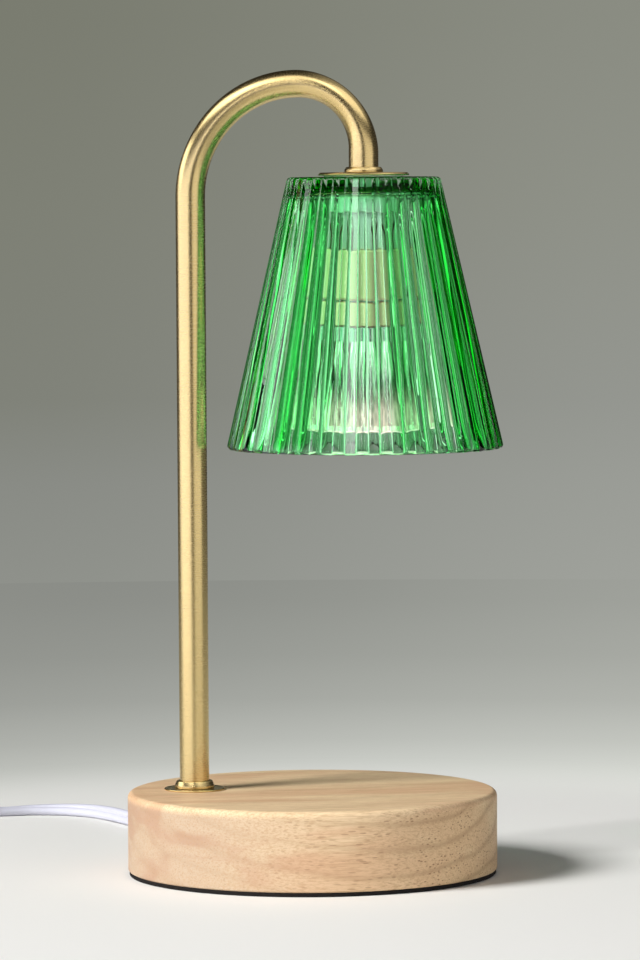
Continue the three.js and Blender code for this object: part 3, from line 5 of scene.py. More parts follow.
import bmesh
import bpy
import numpy as np
from bpy.props import FloatProperty, FloatVectorProperty, IntProperty, PointerProperty
from mathutils import Matrix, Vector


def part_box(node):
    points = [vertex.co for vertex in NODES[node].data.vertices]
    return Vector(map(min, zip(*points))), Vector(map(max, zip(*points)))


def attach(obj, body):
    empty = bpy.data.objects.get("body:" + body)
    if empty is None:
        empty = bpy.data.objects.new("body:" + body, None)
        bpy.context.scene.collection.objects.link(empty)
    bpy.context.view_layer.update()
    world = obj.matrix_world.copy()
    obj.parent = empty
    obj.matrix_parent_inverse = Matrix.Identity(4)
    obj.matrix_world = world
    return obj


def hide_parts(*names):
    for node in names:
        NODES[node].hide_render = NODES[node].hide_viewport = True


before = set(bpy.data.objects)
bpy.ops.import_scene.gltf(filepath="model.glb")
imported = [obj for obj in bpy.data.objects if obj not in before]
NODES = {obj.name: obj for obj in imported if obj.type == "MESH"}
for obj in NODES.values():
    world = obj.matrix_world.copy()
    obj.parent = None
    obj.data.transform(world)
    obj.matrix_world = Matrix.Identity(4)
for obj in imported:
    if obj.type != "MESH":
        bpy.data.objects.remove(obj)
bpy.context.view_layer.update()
MM = 0.001
SAME_PLACE = 2e-6  # metres within which two corners are one

bl_info = {
    "name": "Candle Warmer Lamp",
    "version": (1, 0, 0),
    "blender": (4, 5, 0),
    "location": "View3D > Sidebar > Lamp",
    "description": "Builds the base, brass arm, ribbed glass shade, bulb and cord of a candle warmer lamp",
    "category": "Add Mesh",
}


def heights(node):
    """Lowest and highest z of a CAD node, in millimetres."""
    low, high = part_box(node)
    return low[2] / MM, high[2] / MM


def centre(node):
    """The x of a CAD node's middle, in millimetres."""
    low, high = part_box(node)
    return (low[0] / MM + high[0] / MM) / 2


POLE_X = centre("foot_collar")
HEAD_X = centre("head_collar")
BASE_FOOT, BASE_TOP = heights("base_block")
BULB_FACE, BULB_TOP = heights("bulb_reflector")
EXIT_ANGLE = math.radians(122)  # where the cord leaves the base, from +X
EXIT_HEIGHT = 15.0

# Sizes and colours that a user would change


def length(label, note, default):
    return FloatProperty(name=label, description=note, default=default * MM, min=0, precision=5,
                         unit="LENGTH")


def tint(label, note, default):
    return FloatVectorProperty(name=label, description=note, default=default, size=3, min=0, max=1,
                               subtype="COLOR")


class LampSizes(bpy.types.PropertyGroup):
    """Sizes of the dressed pieces."""

    base_top_round: length("Top edge", "Rounding of the wooden base's top edge", 2.4)
    arm_radius: length("Arm radius", "Outer radius of the bent tube", 6.0)
    arm_wall: length("Arm wall", "Wall of the bent tube", 1.0)
    rib_count: IntProperty(name="Ribs", description="Ribs round the glass shade", default=36, min=8, max=72)
    rib_depth: FloatProperty(name="Rib depth", description="Depth of a flute as a share of the radius",
                             default=0.024, subtype="FACTOR")
    glass_wall: length("Glass wall", "Glass left at the bottom of a flute", 3.0)
    cord_width: length("Cord width", "Width of the flat twin cord", 6.4)
    cord_thickness: length("Cord thickness", "Thickness of the flat twin cord", 3.6)
    cord_groove: length("Cord groove", "Depth of the groove between its cores", 0.45)


class LampColours(bpy.types.PropertyGroup):
    """Colours of the finishes."""

    wood_pale: tint("Pale wood", "Ground colour of the base", (0.76, 0.57, 0.35))
    wood_pink: tint("Pink wood", "Warmer grain in the base", (0.66, 0.42, 0.25))
    wood_dark: tint("Dark wood", "Growth lines and pores", (0.27, 0.15, 0.07))
    brass: tint("Brass", "Brushed brass of the arm", (0.75, 0.57, 0.26))
    glass: tint("Glass", "Light that the stain in the shade's glass lets through", (0.06, 0.87, 0.30))
    ceramic: tint("Ceramic", "Glaze of the lampholder", (0.95, 0.56, 0.44))
    cord: tint("Cord", "Sheath of the cord", (0.54, 0.54, 0.62))
    sleeve: tint("Sleeve", "Braid of the leads", (0.16, 0.08, 0.03))


# Shader maths


class Reading:
    """A socket of a finish. Arithmetic on readings adds the Math nodes that work it out."""

    def __init__(self, finish, socket):
        self.finish = finish
        self.socket = socket

    def _maths(self, operation, *values):
        made = self.finish.node("ShaderNodeMath", {"operation": operation}, dict(enumerate(values)))
        return Reading(self.finish, made.outputs[0])

    def __add__(self, other):
        return self._maths("ADD", self, other)

    def __sub__(self, other):
        return self._maths("SUBTRACT", self, other)

    def __rsub__(self, other):
        return self._maths("SUBTRACT", other, self)

    def __mul__(self, other):
        return self._maths("MULTIPLY", self, other)

    def __truediv__(self, other):
        return self._maths("DIVIDE", self, other)

    def __pow__(self, other):
        return self._maths("POWER", self, other)

    __radd__ = __add__
    __rmul__ = __mul__

    def sine(self):
        return self._maths("SINE", self)

    def larger(self, other):
        return self._maths("MAXIMUM", self, other)

    def clipped(self, low, high, to_low=0.0, to_high=1.0):
        """Runs smoothly from to_low to to_high while the reading runs from low to high."""
        values = {0: self, 1: low, 2: high, 3: to_low, 4: to_high}
        made = self.finish.node("ShaderNodeMapRange", {"interpolation_type": "SMOOTHSTEP"}, values)
        return Reading(self.finish, made.outputs[0])


class Nodes:
    """A tree of nodes. One method adds them all, and the others name the kinds that the finishes use."""

    def __init__(self, tree):
        self.tree = tree
        tree.nodes.clear()

    def node(self, kind, settings, values=None):
        """Adds a node, sets it, then gives its sockets their values, or links them to readings and
        nodes."""
        made = self.tree.nodes.new(kind)
        for key, value in settings.items():
            if key == "stops":
                for at, _ in value[2:]:
                    made.color_ramp.elements.new(at)
                for element, (at, colour) in zip(made.color_ramp.elements, sorted(value)):
                    element.position = at
                    element.color = (*colour, 1)
            else:
                setattr(made, key, value)
        for key, value in (values or {}).items():
            socket = made.inputs[key]
            if isinstance(value, Reading):
                self.tree.links.new(value.socket, socket)
            elif isinstance(value, bpy.types.Node):
                self.tree.links.new(value.outputs[0], socket)
            elif hasattr(socket.default_value, "__len__") and len(socket.default_value) == 4:
                socket.default_value = (*value[:3], 1)
            else:
                socket.default_value = value
        return made

    def read(self, kind, settings, values=None, output=0):
        return Reading(self, self.node(kind, settings, values).outputs[output])

    def place(self, turn=(0, 0, 0), move=(0, 0, 0), source="Object"):
        """Object coordinates in metres, or the piece's own UVs, turned and moved."""
        coordinates = self.read("ShaderNodeTexCoord", {}, output=source)
        return self.read("ShaderNodeMapping", {}, {0: coordinates, 1: move, 2: turn})

    def stretched(self, place, factors):
        return self.read("ShaderNodeVectorMath", {"operation": "MULTIPLY"}, {0: place, 1: factors})

    def parts(self, place):
        split = self.node("ShaderNodeSeparateXYZ", {}, {0: place})
        return [Reading(self, socket) for socket in split.outputs]

    def noise(self, place=None, scale=1.0, detail=2.0, roughness=0.5, distortion=0.0):
        values = {"Vector": place or self.place(), "Scale": scale, "Detail": detail, "Roughness": roughness,
                  "Distortion": distortion}
        return self.read("ShaderNodeTexNoise", {}, values)

    def cells(self, place=None, scale=1.0, feature="F1"):
        values = {"Vector": place or self.place(), "Scale": scale}
        return self.read("ShaderNodeTexVoronoi", {"feature": feature}, values)

    def mix(self, share, one, other, blend="MIX"):
        """Colour that runs from one to other with the share."""
        settings = {"data_type": "RGBA", "blend_type": blend}
        return self.read("ShaderNodeMix", settings, {0: share, 6: one, 7: other}, output=2)

    def ramp(self, value, stops):
        return self.read("ShaderNodeValToRGB", {"stops": stops}, {0: value})


class Finish(Nodes):
    """A procedural finish: a Principled surface whose sockets take numbers, colours or readings."""

    def __init__(self, name, **settings):
        self.material = bpy.data.materials.new(name)
        self.material.use_nodes = True
        super().__init__(self.material.node_tree)
        self.output = self.tree.nodes.new("ShaderNodeOutputMaterial")
        self.surface = self.node("ShaderNodeBsdfPrincipled", {}, settings)
        self.end(self.surface)

    def end(self, node, socket="Surface"):
        """Links a node to the material's output."""
        self.tree.links.new(node.outputs[0], self.output.inputs[socket])

    def put(self, socket, value):
        """Links a reading to one of the surface's sockets."""
        self.tree.links.new(value.socket, self.surface.inputs[socket])

    def tinted(self, share, one, other):
        """Base colour that runs from one to other with the share."""
        self.put("Base Color", self.mix(share, one, other))

    def bump(self, height, distance, strength=1.0):
        values = {"Height": height, "Distance": distance, "Strength": strength}
        self.put("Normal", self.read("ShaderNodeBump", {}, values))

    def soak(self, through, density):
        """Takes colour from light by the length of its way through the piece."""
        values = {"Color": through, "Density": density}
        self.end(self.node("ShaderNodeVolumeAbsorption", {}, values), "Volume")


FINISHES = {}


def surface(settings=None):
    """Gives a finish function a surface with these settings, and keeps the material that it makes."""

    def keep(make):
        def fetch():
            name = make.__name__
            if name not in FINISHES:
                finish = Finish(name, **(settings or {}))
                make(finish, bpy.context.scene.lamp_colours)
                FINISHES[name] = finish.material
            return FINISHES[name]

        return fetch

    return keep


@surface({"Specular IOR Level": 0.35, "Coat Roughness": 0.35, "Coat Weight": 0.05})
def turned_wood(finish, colours):
    """Pale close-grained wood: its fibres run 15 degrees off +X, so the two ends show cut pores. The left
    part of its wall, which faces the key light, is darkened with painted shade.
    """
    grain = finish.place(turn=(0, 0, math.radians(-15)))
    along, across, up = finish.parts(grain)
    x, _, _ = finish.parts(finish.place())
    side = 1 - up.clipped((BASE_TOP - 4) * MM, (BASE_TOP - 1) * MM)  # 1 on the wall, 0 on the top
    cut = along.clipped(-0.03, 0.055) * side
    # painted shade: 1 on the left part of the wall, which faces the key light
    left = x.clipped(-0.05, 0.04, 1, 0) * side
    drift = finish.noise(finish.stretched(grain, (6, 20, 30)), detail=3)
    clouds = finish.noise(finish.stretched(grain, (9, 40, 70)), detail=4, distortion=0.6)
    rings = (up * 620 - across * 210 + drift * 12 + along * 25).sine() * 0.5 + 0.5
    lines = rings**7
    streaks = finish.noise(finish.stretched(grain, (60, 1500, 1500)), detail=4, roughness=0.65)
    fine = finish.noise(finish.stretched(grain, (300, 3200, 3200)), detail=2)
    patches = finish.noise(finish.stretched(grain, (40, 120, 160)), detail=2).clipped(0.30, 0.5)
    pores = finish.cells(finish.stretched(grain, (140, 800, 800))).clipped(0.16, 0.30, 1, 0)
    ground = finish.mix(clouds.clipped(0.38, 0.62), colours.wood_pale, colours.wood_pink)
    ground = finish.mix(cut * 0.5, ground, (0.66, 0.50, 0.28))
    # painted shade: the left part of the wall is multiplied darker and cooler
    ground = finish.mix(left, ground, (0.61, 0.62, 0.71), "MULTIPLY")
    warm = finish.mix(lines * (0.10 + cut * 0.28) + rings * 0.05, ground, colours.wood_dark)
    streaked = finish.mix(streaks.clipped(0.42, 0.68) * 0.58, warm, (0.42, 0.25, 0.13))
    flecked = finish.mix(fine.clipped(0.48, 0.7) * 0.34, streaked, (0.42, 0.25, 0.13))
    pored = finish.mix(pores * patches * (0.14 + side * 0.16 + cut * 0.65), flecked, colours.wood_dark)
    finish.put("Base Color", pored)
    finish.put("Roughness", 0.45 + streaks * 0.16)
    finish.bump(streaks * 0.5 - pores * patches * (0.2 + cut), 0.00015, 0.6)


@surface({"Roughness": 0.92, "Specular IOR Level": 0.1})
def black_foam(finish, colours):
    """Black closed-cell foam with a fine grain."""
    cells = finish.cells(scale=2400)
    grain = finish.noise(scale=700, detail=3)
    finish.tinted(grain, (0.006, 0.005, 0.005), (0.022, 0.019, 0.017))
    finish.bump(cells, 0.0002, 0.5)


@surface({"Metallic": 1.0, "Roughness": 0.3, "Coat Weight": 0.06, "Coat Roughness": 0.25})
def brushed_brass(finish, colours):
    """Satin brass, brushed round the piece: fine lines on the UVs, along which light spreads."""
    around = finish.place(source="UV")
    lines = finish.noise(finish.stretched(around, (6, 5200, 1)), detail=3, roughness=0.7)
    cloud = finish.noise(scale=55, detail=3)
    colour = finish.mix(cloud.clipped(0.3, 0.75) * 0.3, colours.brass, (0.70, 0.50, 0.22))
    finish.tinted(lines.clipped(0.35, 0.8) * 0.22, colour, (0.55, 0.38, 0.16))
    finish.put("Roughness", 0.19 + lines * 0.10 + cloud * 0.05)
    finish.bump(lines, 0.00002, 0.6)


@surface({"Metallic": 1.0})
def bright_brass(finish, colours):
    """Plain brass of contacts, blades and terminals, with rubbed patches."""
    wear = finish.noise(scale=420, detail=4)
    finish.tinted(wear, (0.82, 0.64, 0.33), (0.62, 0.43, 0.19))
    finish.put("Roughness", 0.2 + wear * 0.25)
    finish.bump(wear, 0.00003, 0.4)


@surface({"Metallic": 0.7})
def plated_steel(finish, colours):
    """Zinc-plated steel: pale, with faint spangle and rubbed roughness."""
    spangle = finish.cells(scale=900)
    wear = finish.noise(scale=260, detail=4)
    finish.tinted(wear, (0.84, 0.85, 0.86), (0.66, 0.68, 0.70))
    finish.put("Roughness", 0.22 + wear * 0.2 + spangle * 0.1)
    finish.bump(wear, 0.00003, 0.4)


@surface({"Metallic": 0.6})
def cast_iron(finish, colours):
    """Rough casting, dark grey with a sandy skin."""
    sand = finish.noise(scale=1300, detail=5, roughness=0.7)
    cloud = finish.noise(scale=90, detail=3)
    finish.tinted(cloud, (0.055, 0.058, 0.062), (0.13, 0.125, 0.12))
    finish.put("Roughness", 0.55 + sand * 0.35)
    finish.bump(sand, 0.0003, 0.7)


def moulded(finish, colour, roughness):
    """Moulded plastic with a fine spark-eroded grain and faint clouding."""
    grain = finish.noise(scale=2600, detail=3)
    cloud = finish.noise(scale=60, detail=2)
    dark = tuple(part * 0.88 for part in colour)
    finish.tinted(cloud, colour, dark)
    finish.put("Roughness", roughness + grain * 0.18)
    finish.bump(grain, 0.00006, 0.5)


@surface()
def white_plastic(finish, colours):
    """White plastic of the plug, dimmer and inner cord fittings."""
    moulded(finish, (0.86, 0.86, 0.87), 0.35)


@surface()
def grey_plastic(finish, colours):
    """Dark grey plastic of the dimmer's wheel and potentiometer."""
    moulded(finish, (0.11, 0.12, 0.13), 0.42)


@surface()
def silicone(finish, colours):
    """Off-white silicone of the shade's two gaskets."""
    moulded(finish, (0.76, 0.76, 0.72), 0.5)


@surface({"Specular IOR Level": 0.45})
def cord_sheath(finish, colours):
    """Soft PVC of the cord: cool white, a little glossy, with a fine drawn grain along its UVs."""
    drawn = finish.noise(finish.stretched(finish.place(source="UV"), (60, 90, 1)), detail=3)
    cloud = finish.noise(scale=45, detail=2)
    colour = tuple(colours.cord)
    finish.tinted(cloud * 0.5, colour, tuple(part * 0.93 for part in colour))
    finish.put("Roughness", 0.34 + drawn * 0.16)
    finish.bump(drawn, 0.00005, 0.4)


@surface({"Roughness": 0.75})
def braided_sleeve(finish, colours):
    """Brown glass-fibre sleeve: two sets of threads that cross on the UVs."""
    around, along, _ = finish.parts(finish.place(source="UV"))
    one = (around * 50.27 + along * 3600).sine() * 0.5 + 0.5
    other = (around * 50.27 - along * 3600).sine() * 0.5 + 0.5
    threads = one * other
    colour = tuple(colours.sleeve)
    finish.tinted(threads, tuple(part * 0.35 for part in colour), colour)
    finish.bump(threads, 0.0002, 0.8)


@surface({"Coat Weight": 0.35, "Coat Roughness": 0.15})
def cream_ceramic(finish, colours):
    """Cream steatite with a thin glaze, faint specks and clouding."""
    cloud = finish.noise(scale=70, detail=3)
    specks = finish.noise(scale=1500, detail=1).clipped(0.72, 0.78)
    colour = tuple(colours.ceramic)
    ground = finish.mix(cloud, colour, tuple(part * 0.88 for part in colour))
    finish.tinted(specks * 0.5, ground, (0.42, 0.36, 0.26))
    finish.put("Roughness", 0.38 + cloud * 0.2)
    finish.bump(cloud, 0.0002, 0.3)


@surface({"Transmission Weight": 1.0, "IOR": 1.5, "Base Color": (1, 1, 1), "Roughness": 0.0})
def green_glass(finish, colours):
    """Pressed clear glass with the slow swell of the mould in its skin, faintly green by its depth: its
    strong green is a stain inside it. Light of the lamps goes straight through."""
    finish.soak((0.80, 0.96, 0.86), 9)
    open_way = finish.node("ShaderNodeBsdfTransparent", {}, {0: (1, 1, 1)})
    lamp_ray = finish.read("ShaderNodeLightPath", {}, output="Is Shadow Ray")
    finish.end(finish.node("ShaderNodeMixShader", {}, {0: lamp_ray, 1: finish.surface, 2: open_way}))
    swell = finish.noise(scale=38, detail=2)
    skin = finish.noise(scale=260, detail=2)
    finish.bump(swell + skin * 0.12, 0.0004, 0.35)


@surface({"Alpha": 0.0, "Roughness": 0.4})
def green_stain(finish, colours):
    """Green fired into the glass under its inner skin: light that crosses it aslant goes further and comes
    out darker. Its own surface is see-through, and all its colour is in its depth."""
    cloud = finish.noise(scale=60, detail=2)
    finish.tinted(cloud, (0.42, 0.88, 0.50), (0.34, 0.80, 0.42))
    finish.soak(tuple(colours.glass), 2500.0)


@surface({"Metallic": 1.0, "Emission Strength": 1.0})
def silvered_glass(finish, colours):
    """Silvered bowl of the bulb: bright, with the lamp's glow deepening towards its mouth."""
    _, _, up = finish.parts(finish.place())
    mouth = up.clipped((BULB_FACE + 3) * MM, (BULB_FACE + 20) * MM, 1, 0)
    wear = finish.noise(scale=130, detail=3)
    facets = finish.cells(finish.stretched(finish.place(), (1, 1, 0.7)), 230)
    finish.tinted(wear, (0.93, 0.93, 0.90), (0.70, 0.73, 0.70))
    finish.put("Roughness", 0.04 + wear * 0.10)
    glow = mouth * (0.1 + facets * 1.3)
    finish.put("Emission Color", finish.mix(glow, (0, 0, 0), (0.88, 0.68, 0.58)))


@surface({"Roughness": 0.15, "Emission Strength": 1.6, "Coat Weight": 0.6})
def lit_glass(finish, colours):
    """Front glass and capsule of the lit bulb: rippled, pale and glowing most in the middle."""
    place = finish.place(move=(-HEAD_X * MM, 0, 0))
    x, y, _ = finish.parts(place)
    out = (x * x + y * y) ** 0.5
    ripples = finish.cells(place, 420)
    glow = 1 - out.clipped(0.002, 0.024)
    finish.tinted(ripples, (0.85, 0.86, 0.82), (0.60, 0.62, 0.60))
    glow = glow * (0.6 + ripples * 0.4)
    finish.put("Emission Color", finish.mix(glow, (0.22, 0.22, 0.18), (1.0, 0.93, 0.72)))
    finish.bump(ripples, 0.0005, 0.6)


@surface({"Coat Weight": 0.5, "Coat Roughness": 0.2})
def green_board(finish, colours):
    """Green lacquered board with paler tracks under the lacquer."""
    edges = finish.cells(finish.stretched(finish.place(), (1, 2, 1)), 380, "DISTANCE_TO_EDGE")
    tracks = edges.clipped(0.03, 0.08)
    finish.tinted(tracks, (0.10, 0.26, 0.12), (0.025, 0.15, 0.055))
    finish.put("Roughness", 0.35 + tracks * 0.2)


# Surfaces


def smooth(low, high, value):
    """Eases from 0 to 1 while the value runs from low to high: 3t^2 - 2t^3."""
    t = np.clip((np.asarray(value, float) - low) / (high - low), 0, 1)
    return t * t * (3 - 2 * t)


def unit(vectors):
    """The vectors, each divided by its length."""
    return vectors / np.linalg.norm(vectors, axis=-1, keepdims=True)


def runs(line):
    """How far along the line each of its points lies."""
    return np.concatenate([[0], np.cumsum(np.linalg.norm(np.diff(line, axis=0), axis=1))])


def eased(corners, steps=7):
    """Outline through corners (r, z, rounding): an arc of each rounding's radius touches both legs
    radius / tan(half angle) away from the corner."""
    rounds = [corner[2] for corner in corners]
    corners = [np.array(corner[:2], float) for corner in corners]
    outline = []
    for i, (corner, radius) in enumerate(zip(corners, rounds)):
        if not radius:
            outline.append(corner[None])
            continue
        back, on = unit(corners[i - 1] - corner), unit(corners[i + 1] - corner)
        half = math.acos(np.clip(back @ on, -1, 1)) / 2
        middle = corner + unit(back + on) * radius / math.sin(half)
        start = corner + back * radius / math.tan(half) - middle
        end = corner + on * radius / math.tan(half) - middle
        swing = math.acos(np.clip(start @ end / radius**2, -1, 1))
        t = np.linspace(0, 1, steps)[:, None]
        outline.append(middle + (np.sin((1 - t) * swing) * start + np.sin(t * swing) * end) / math.sin(swing))
    return np.concatenate(outline)


def turned(profile, x=0.0, sides=160):
    """Surface of revolution: a profile point (r, z) sweeps (x + r cos t, r sin t, z)."""
    angle = np.linspace(0, 2 * np.pi, sides + 1)
    radius, height = np.asarray(profile, float).T
    ring = np.stack([np.cos(angle), np.sin(angle)], -1)
    flat = radius[:, None, None] * ring + (x, 0)
    return np.concatenate([flat, np.broadcast_to(height[:, None, None], (*flat.shape[:2], 1))], -1)


def frames_along(path, side):
    """Sideways and third directions of unit length: the side is squared to the tangent at each station."""
    tangent = unit(np.gradient(path, axis=0))
    side = unit(side - (side * tangent).sum(1, keepdims=True) * tangent)
    return side, np.cross(tangent, side)


def carried(path, side, section, wide=1.0, deep=1.0):
    """Section (a, b) carried along a path: each point is place + a * wide * side + b * deep * (tangent x
    side)."""
    side, third = frames_along(path, side)
    wide = np.broadcast_to(wide, len(path))[:, None, None]
    deep = np.broadcast_to(deep, len(path))[:, None, None]
    a = section[None, :, :1] * wide * side[:, None]
    b = section[None, :, 1:] * deep * third[:, None]
    return path[:, None] + a + b


def capped(rows):
    """The surface with each end drawn to its middle, which closes it."""
    return np.concatenate([np.broadcast_to(rows[:1].mean(1, keepdims=True), rows[:1].shape), rows,
                           np.broadcast_to(rows[-1:].mean(1, keepdims=True), rows[-1:].shape)])


def ring_section(radius, sides):
    """Circle as a section: r cos t, r sin t."""
    angle = np.linspace(0, 2 * np.pi, sides + 1)
    return radius * np.stack([np.cos(angle), np.sin(angle)], -1)


def spline(points, count):
    """Centripetal Catmull-Rom curve through points, at evenly spaced places along its length."""
    points = np.array(points, float)
    points = np.vstack([2 * points[0] - points[1], points, 2 * points[-1] - points[-2]])
    parts = []
    for p in (points[i : i + 4] for i in range(len(points) - 3)):
        knots = np.concatenate([[0], np.cumsum(np.linalg.norm(np.diff(p, axis=0), axis=1) ** 0.5)])
        t = np.linspace(knots[1], knots[2], 24, endpoint=False)[:, None]

        def blend(one, other, i, j):
            return ((knots[j] - t) * one + (t - knots[i]) * other) / (knots[j] - knots[i])

        a = [blend(p[i], p[i + 1], i, i + 1) for i in range(3)]
        b = [blend(a[i], a[i + 1], i, i + 2) for i in range(2)]
        parts.append(blend(b[0], b[1], 1, 2))
    return evened(np.vstack([*parts, points[-2]]), count)


def evened(curve, count):
    """The same line with its points spaced evenly."""
    run = runs(curve)
    at = np.linspace(0, run[-1], count)
    return np.stack([np.interp(at, run, column) for column in curve.T], -1)


def piece(name, surfaces, material, body="lamp", replaces=(), sharp=38):
    """One closed piece from grids of points in millimetres. Shared edges are merged, and UV 0 to 1 runs
    round a grid's columns while UV v is the way along its rows in metres."""
    places, quads, uvs, count = [], [], [], 0
    for grid in surfaces:
        rows, columns = grid.shape[:2]
        corner = count + (np.arange(rows - 1)[:, None] * columns + np.arange(columns - 1)).reshape(-1, 1)
        quads.append(corner + np.array([0, 1, columns + 1, columns]))
        places.append(grid.reshape(-1, 3) * MM)
        run = np.linalg.norm(np.diff(grid, axis=0), axis=2).mean(1)
        v = np.concatenate([[0], np.cumsum(run)]) * MM
        u = np.linspace(0, 1, columns)
        uvs.append(np.stack(np.broadcast_arrays(u[None], v[:, None]), -1).reshape(-1, 2))
        count += rows * columns
    quads = np.concatenate(quads)
    mesh = bpy.data.meshes.new(name)
    mesh.from_pydata(np.concatenate(places), [], quads)
    layer = mesh.uv_layers.new(name="UVMap")
    layer.data.foreach_set("uv", np.concatenate(uvs)[quads.ravel()].astype(np.float32).ravel())
    shell = bmesh.new()
    shell.from_mesh(mesh)
    bmesh.ops.remove_doubles(shell, verts=shell.verts, dist=SAME_PLACE)
    if shell.calc_volume(signed=True) < 0:
        bmesh.ops.reverse_faces(shell, faces=shell.faces)
    return dressed(name, mesh, shell, material, body, replaces, sharp)


def dressed(name, mesh, shell, material, body, replaces, sharp):
    """Puts the finished shell in the scene, riding on its body and standing for its CAD nodes."""
    shell.to_mesh(mesh)
    shell.free()
    mesh.polygons.foreach_set("use_smooth", [True] * len(mesh.polygons))
    mesh.set_sharp_from_angle(angle=math.radians(sharp))
    mesh.materials.append(material)
    made = bpy.data.objects.new(name, mesh)
    bpy.context.scene.collection.objects.link(made)
    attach(made, body)
    if replaces:
        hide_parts(*replaces)
    return made


def spun(name, corners, steps, material, node, x=None, sides=160, body="lamp"):
    """A turned piece from the corners of its half section. It stands over the middle of the head unless x
    says where."""
    x = HEAD_X if x is None else x
    return piece(name, [turned(eased(corners, steps), x, sides)], material, body, (node,))


def softened(node, name, material, width, body="lamp", sharp=32):
    """A copy of a CAD solid with its facets merged into flat faces and its edges bevelled by the width."""
    mesh = NODES[node].data.copy()
    mesh.materials.clear()
    shell = bmesh.new()
    shell.from_mesh(mesh)
    bmesh.ops.remove_doubles(shell, verts=shell.verts, dist=SAME_PLACE)
    bmesh.ops.dissolve_limit(shell, angle_limit=math.radians(0.8), verts=shell.verts, edges=shell.edges)
    made = dressed(name, mesh, shell, material, body, (node,), sharp)
    bevel = made.modifiers.new("edges", "BEVEL")
    bevel.width = width * MM
    bevel.segments = 2
    bevel.limit_method = "ANGLE"
    bevel.angle_limit = math.radians(sharp)
    bevel.harden_normals = True
    return made


def paint(material, *names):
    """Gives CAD nodes that stay as they are their finish."""
    for name in names:
        NODES[name].data.materials.clear()
        NODES[name].data.materials.append(material)


# Stage

EYE = (0.1664, -2.0155, 0.2700)
LOOK = (-4.61, 3.12, -0.35)  # degrees to the right of +Y, down, and rolled
LENS, FILM = 187.5, 36  # focal length and height of the picture's sensor
FLOOR_RADIUS, FLOOR_THICKNESS = 1.6, 0.02
LAMP_MIDDLE = (0, 0, 0.12)
# Written greys by share of the way from the lamp to the floor's edge, and up the backdrop's two sides, with
# how far their blue falls short
# the floor's greys are painted light: they fall off with distance from the lamp
FLOOR_TONES = [(0.0, 226), (1.0, 152), (0.2, 215), (0.262, 199), (0.32, 187), (0.45, 170), (0.62, 160),
               (0.88, 153)]
LEFT_WALL = [(0.03, 144, -5), (0.84, 123, -11), (0.18, 138, -5), (0.3, 129, -8), (0.57, 127, -10)]
RIGHT_WALL = [(0.03, 161, -5), (0.84, 140, -9), (0.18, 156, -5), (0.3, 150, -5), (0.57, 145, -8)]
# Name, azimuth and height in degrees, distance and size in metres, power in watts
KEY_AND_FILL = [("key", -146, 32, 5.0, (1.73, 1.73), 430), ("front_fill", -50, 7, 1.6, (1.2, 0.6), 9)]
SEEN_IN_GLOSS = [
    ("left_panel", -147, 6, 1.15, (2.5, 0.5), 6.0), ("left_high", -150, 50, 1.4, (1.6, 0.5), 7),
    ("left_back", -186, 22, 1.4, (1.0, 0.35), 3), ("right_panel", -42, 6, 1.2, (1.5, 0.5), 2.5),
    ("overhead", -100, 64, 1.3, (1.5, 0.55), 4.0), ("right_high", -25, 52, 1.3, (1.4, 0.8), 4.0),
    ("strip", -98, 30, 1.5, (0.07, 0.9), 1.2),
]
PANEL_COLOUR = (1.0, 1.02, 1.2)


def aim(azimuth, pitch, roll):
    """Camera turn from the way it looks: right, up and backward directions as a matrix's columns."""
    az, down, turn = map(math.radians, (azimuth, pitch, roll))
    ahead = np.array([math.sin(az) * math.cos(down), math.cos(az) * math.cos(down), -math.sin(down)])
    right = np.array([math.cos(az), -math.sin(az), 0])
    up = np.cross(right, ahead)
    right, up = math.cos(turn) * right + math.sin(turn) * up, -math.sin(turn) * right + math.cos(turn) * up
    matrix = Matrix(np.stack([right, up, -ahead], 1)).to_4x4()
    matrix.translation = EYE
    return matrix


def softbox(name, azimuth, height, distance, size, power, gloss):
    """Rectangular light that faces the lamp's middle from an azimuth and a height: right, up and backward
    directions are its matrix's columns. It either lights matt surfaces or is seen in gloss and glass."""
    az, el = math.radians(azimuth), math.radians(height)
    way = np.array([math.cos(az) * math.cos(el), math.sin(az) * math.cos(el), math.sin(el)])
    data = bpy.data.lights.new(name, "AREA")
    data.shape = "RECTANGLE"
    data.size, data.size_y = size
    data.energy = power
    made = bpy.data.objects.new(name, data)
    bpy.context.scene.collection.objects.link(made)
    made.visible_diffuse = not gloss
    made.visible_glossy = made.visible_transmission = gloss
    right = np.array([-math.sin(az), math.cos(az), 0])
    matrix = Matrix(np.stack([right, np.cross(way, right), way], 1)).to_4x4()
    matrix.translation = way * distance + LAMP_MIDDLE
    made.matrix_world = matrix
    return data


def grey(level, blue=-5):
    """Linear colour of a written grey from 0 to 255, a shade greener than neutral and short of blue."""
    return tuple((((level + shift) / 255 + 0.055) / 1.055) ** 2.4 for shift in (-1, 1, blue))


@surface({"Base Color": (0.80, 0.79, 0.76), "Roughness": 0.7})
def pale_floor(finish, colours):
    """Pale floor: lit near the lamp. Further out it glows with painted light: a grey that falls off with
    distance into the backdrop's grey and is brighter towards the right.
    """
    place = finish.place()
    x, y, _ = finish.parts(place)
    away = (x * x + y * y) ** 0.5
    tone = finish.ramp(away / FLOOR_RADIUS, [(share, grey(level)) for share, level in FLOOR_TONES])
    # painted light: the glowing floor is brighter towards the right
    side = finish.mix(x.clipped(-0.3, 0.22), (0.84, 0.84, 0.84), (1.14, 1.14, 1.14))
    far = finish.mix(1.0, tone, side, "MULTIPLY")
    glow = finish.node("ShaderNodeEmission", {}, {0: far, 1: 1.0})
    near_left = x.clipped(-0.15, 0.1, 1, 0) * y.clipped(-0.2, 0.05, 1, 0)
    fades = away.clipped(0.23, 0.42) * (1 - near_left)
    finish.end(finish.node("ShaderNodeMixShader", {}, {0: fades, 1: finish.surface, 2: glow}))


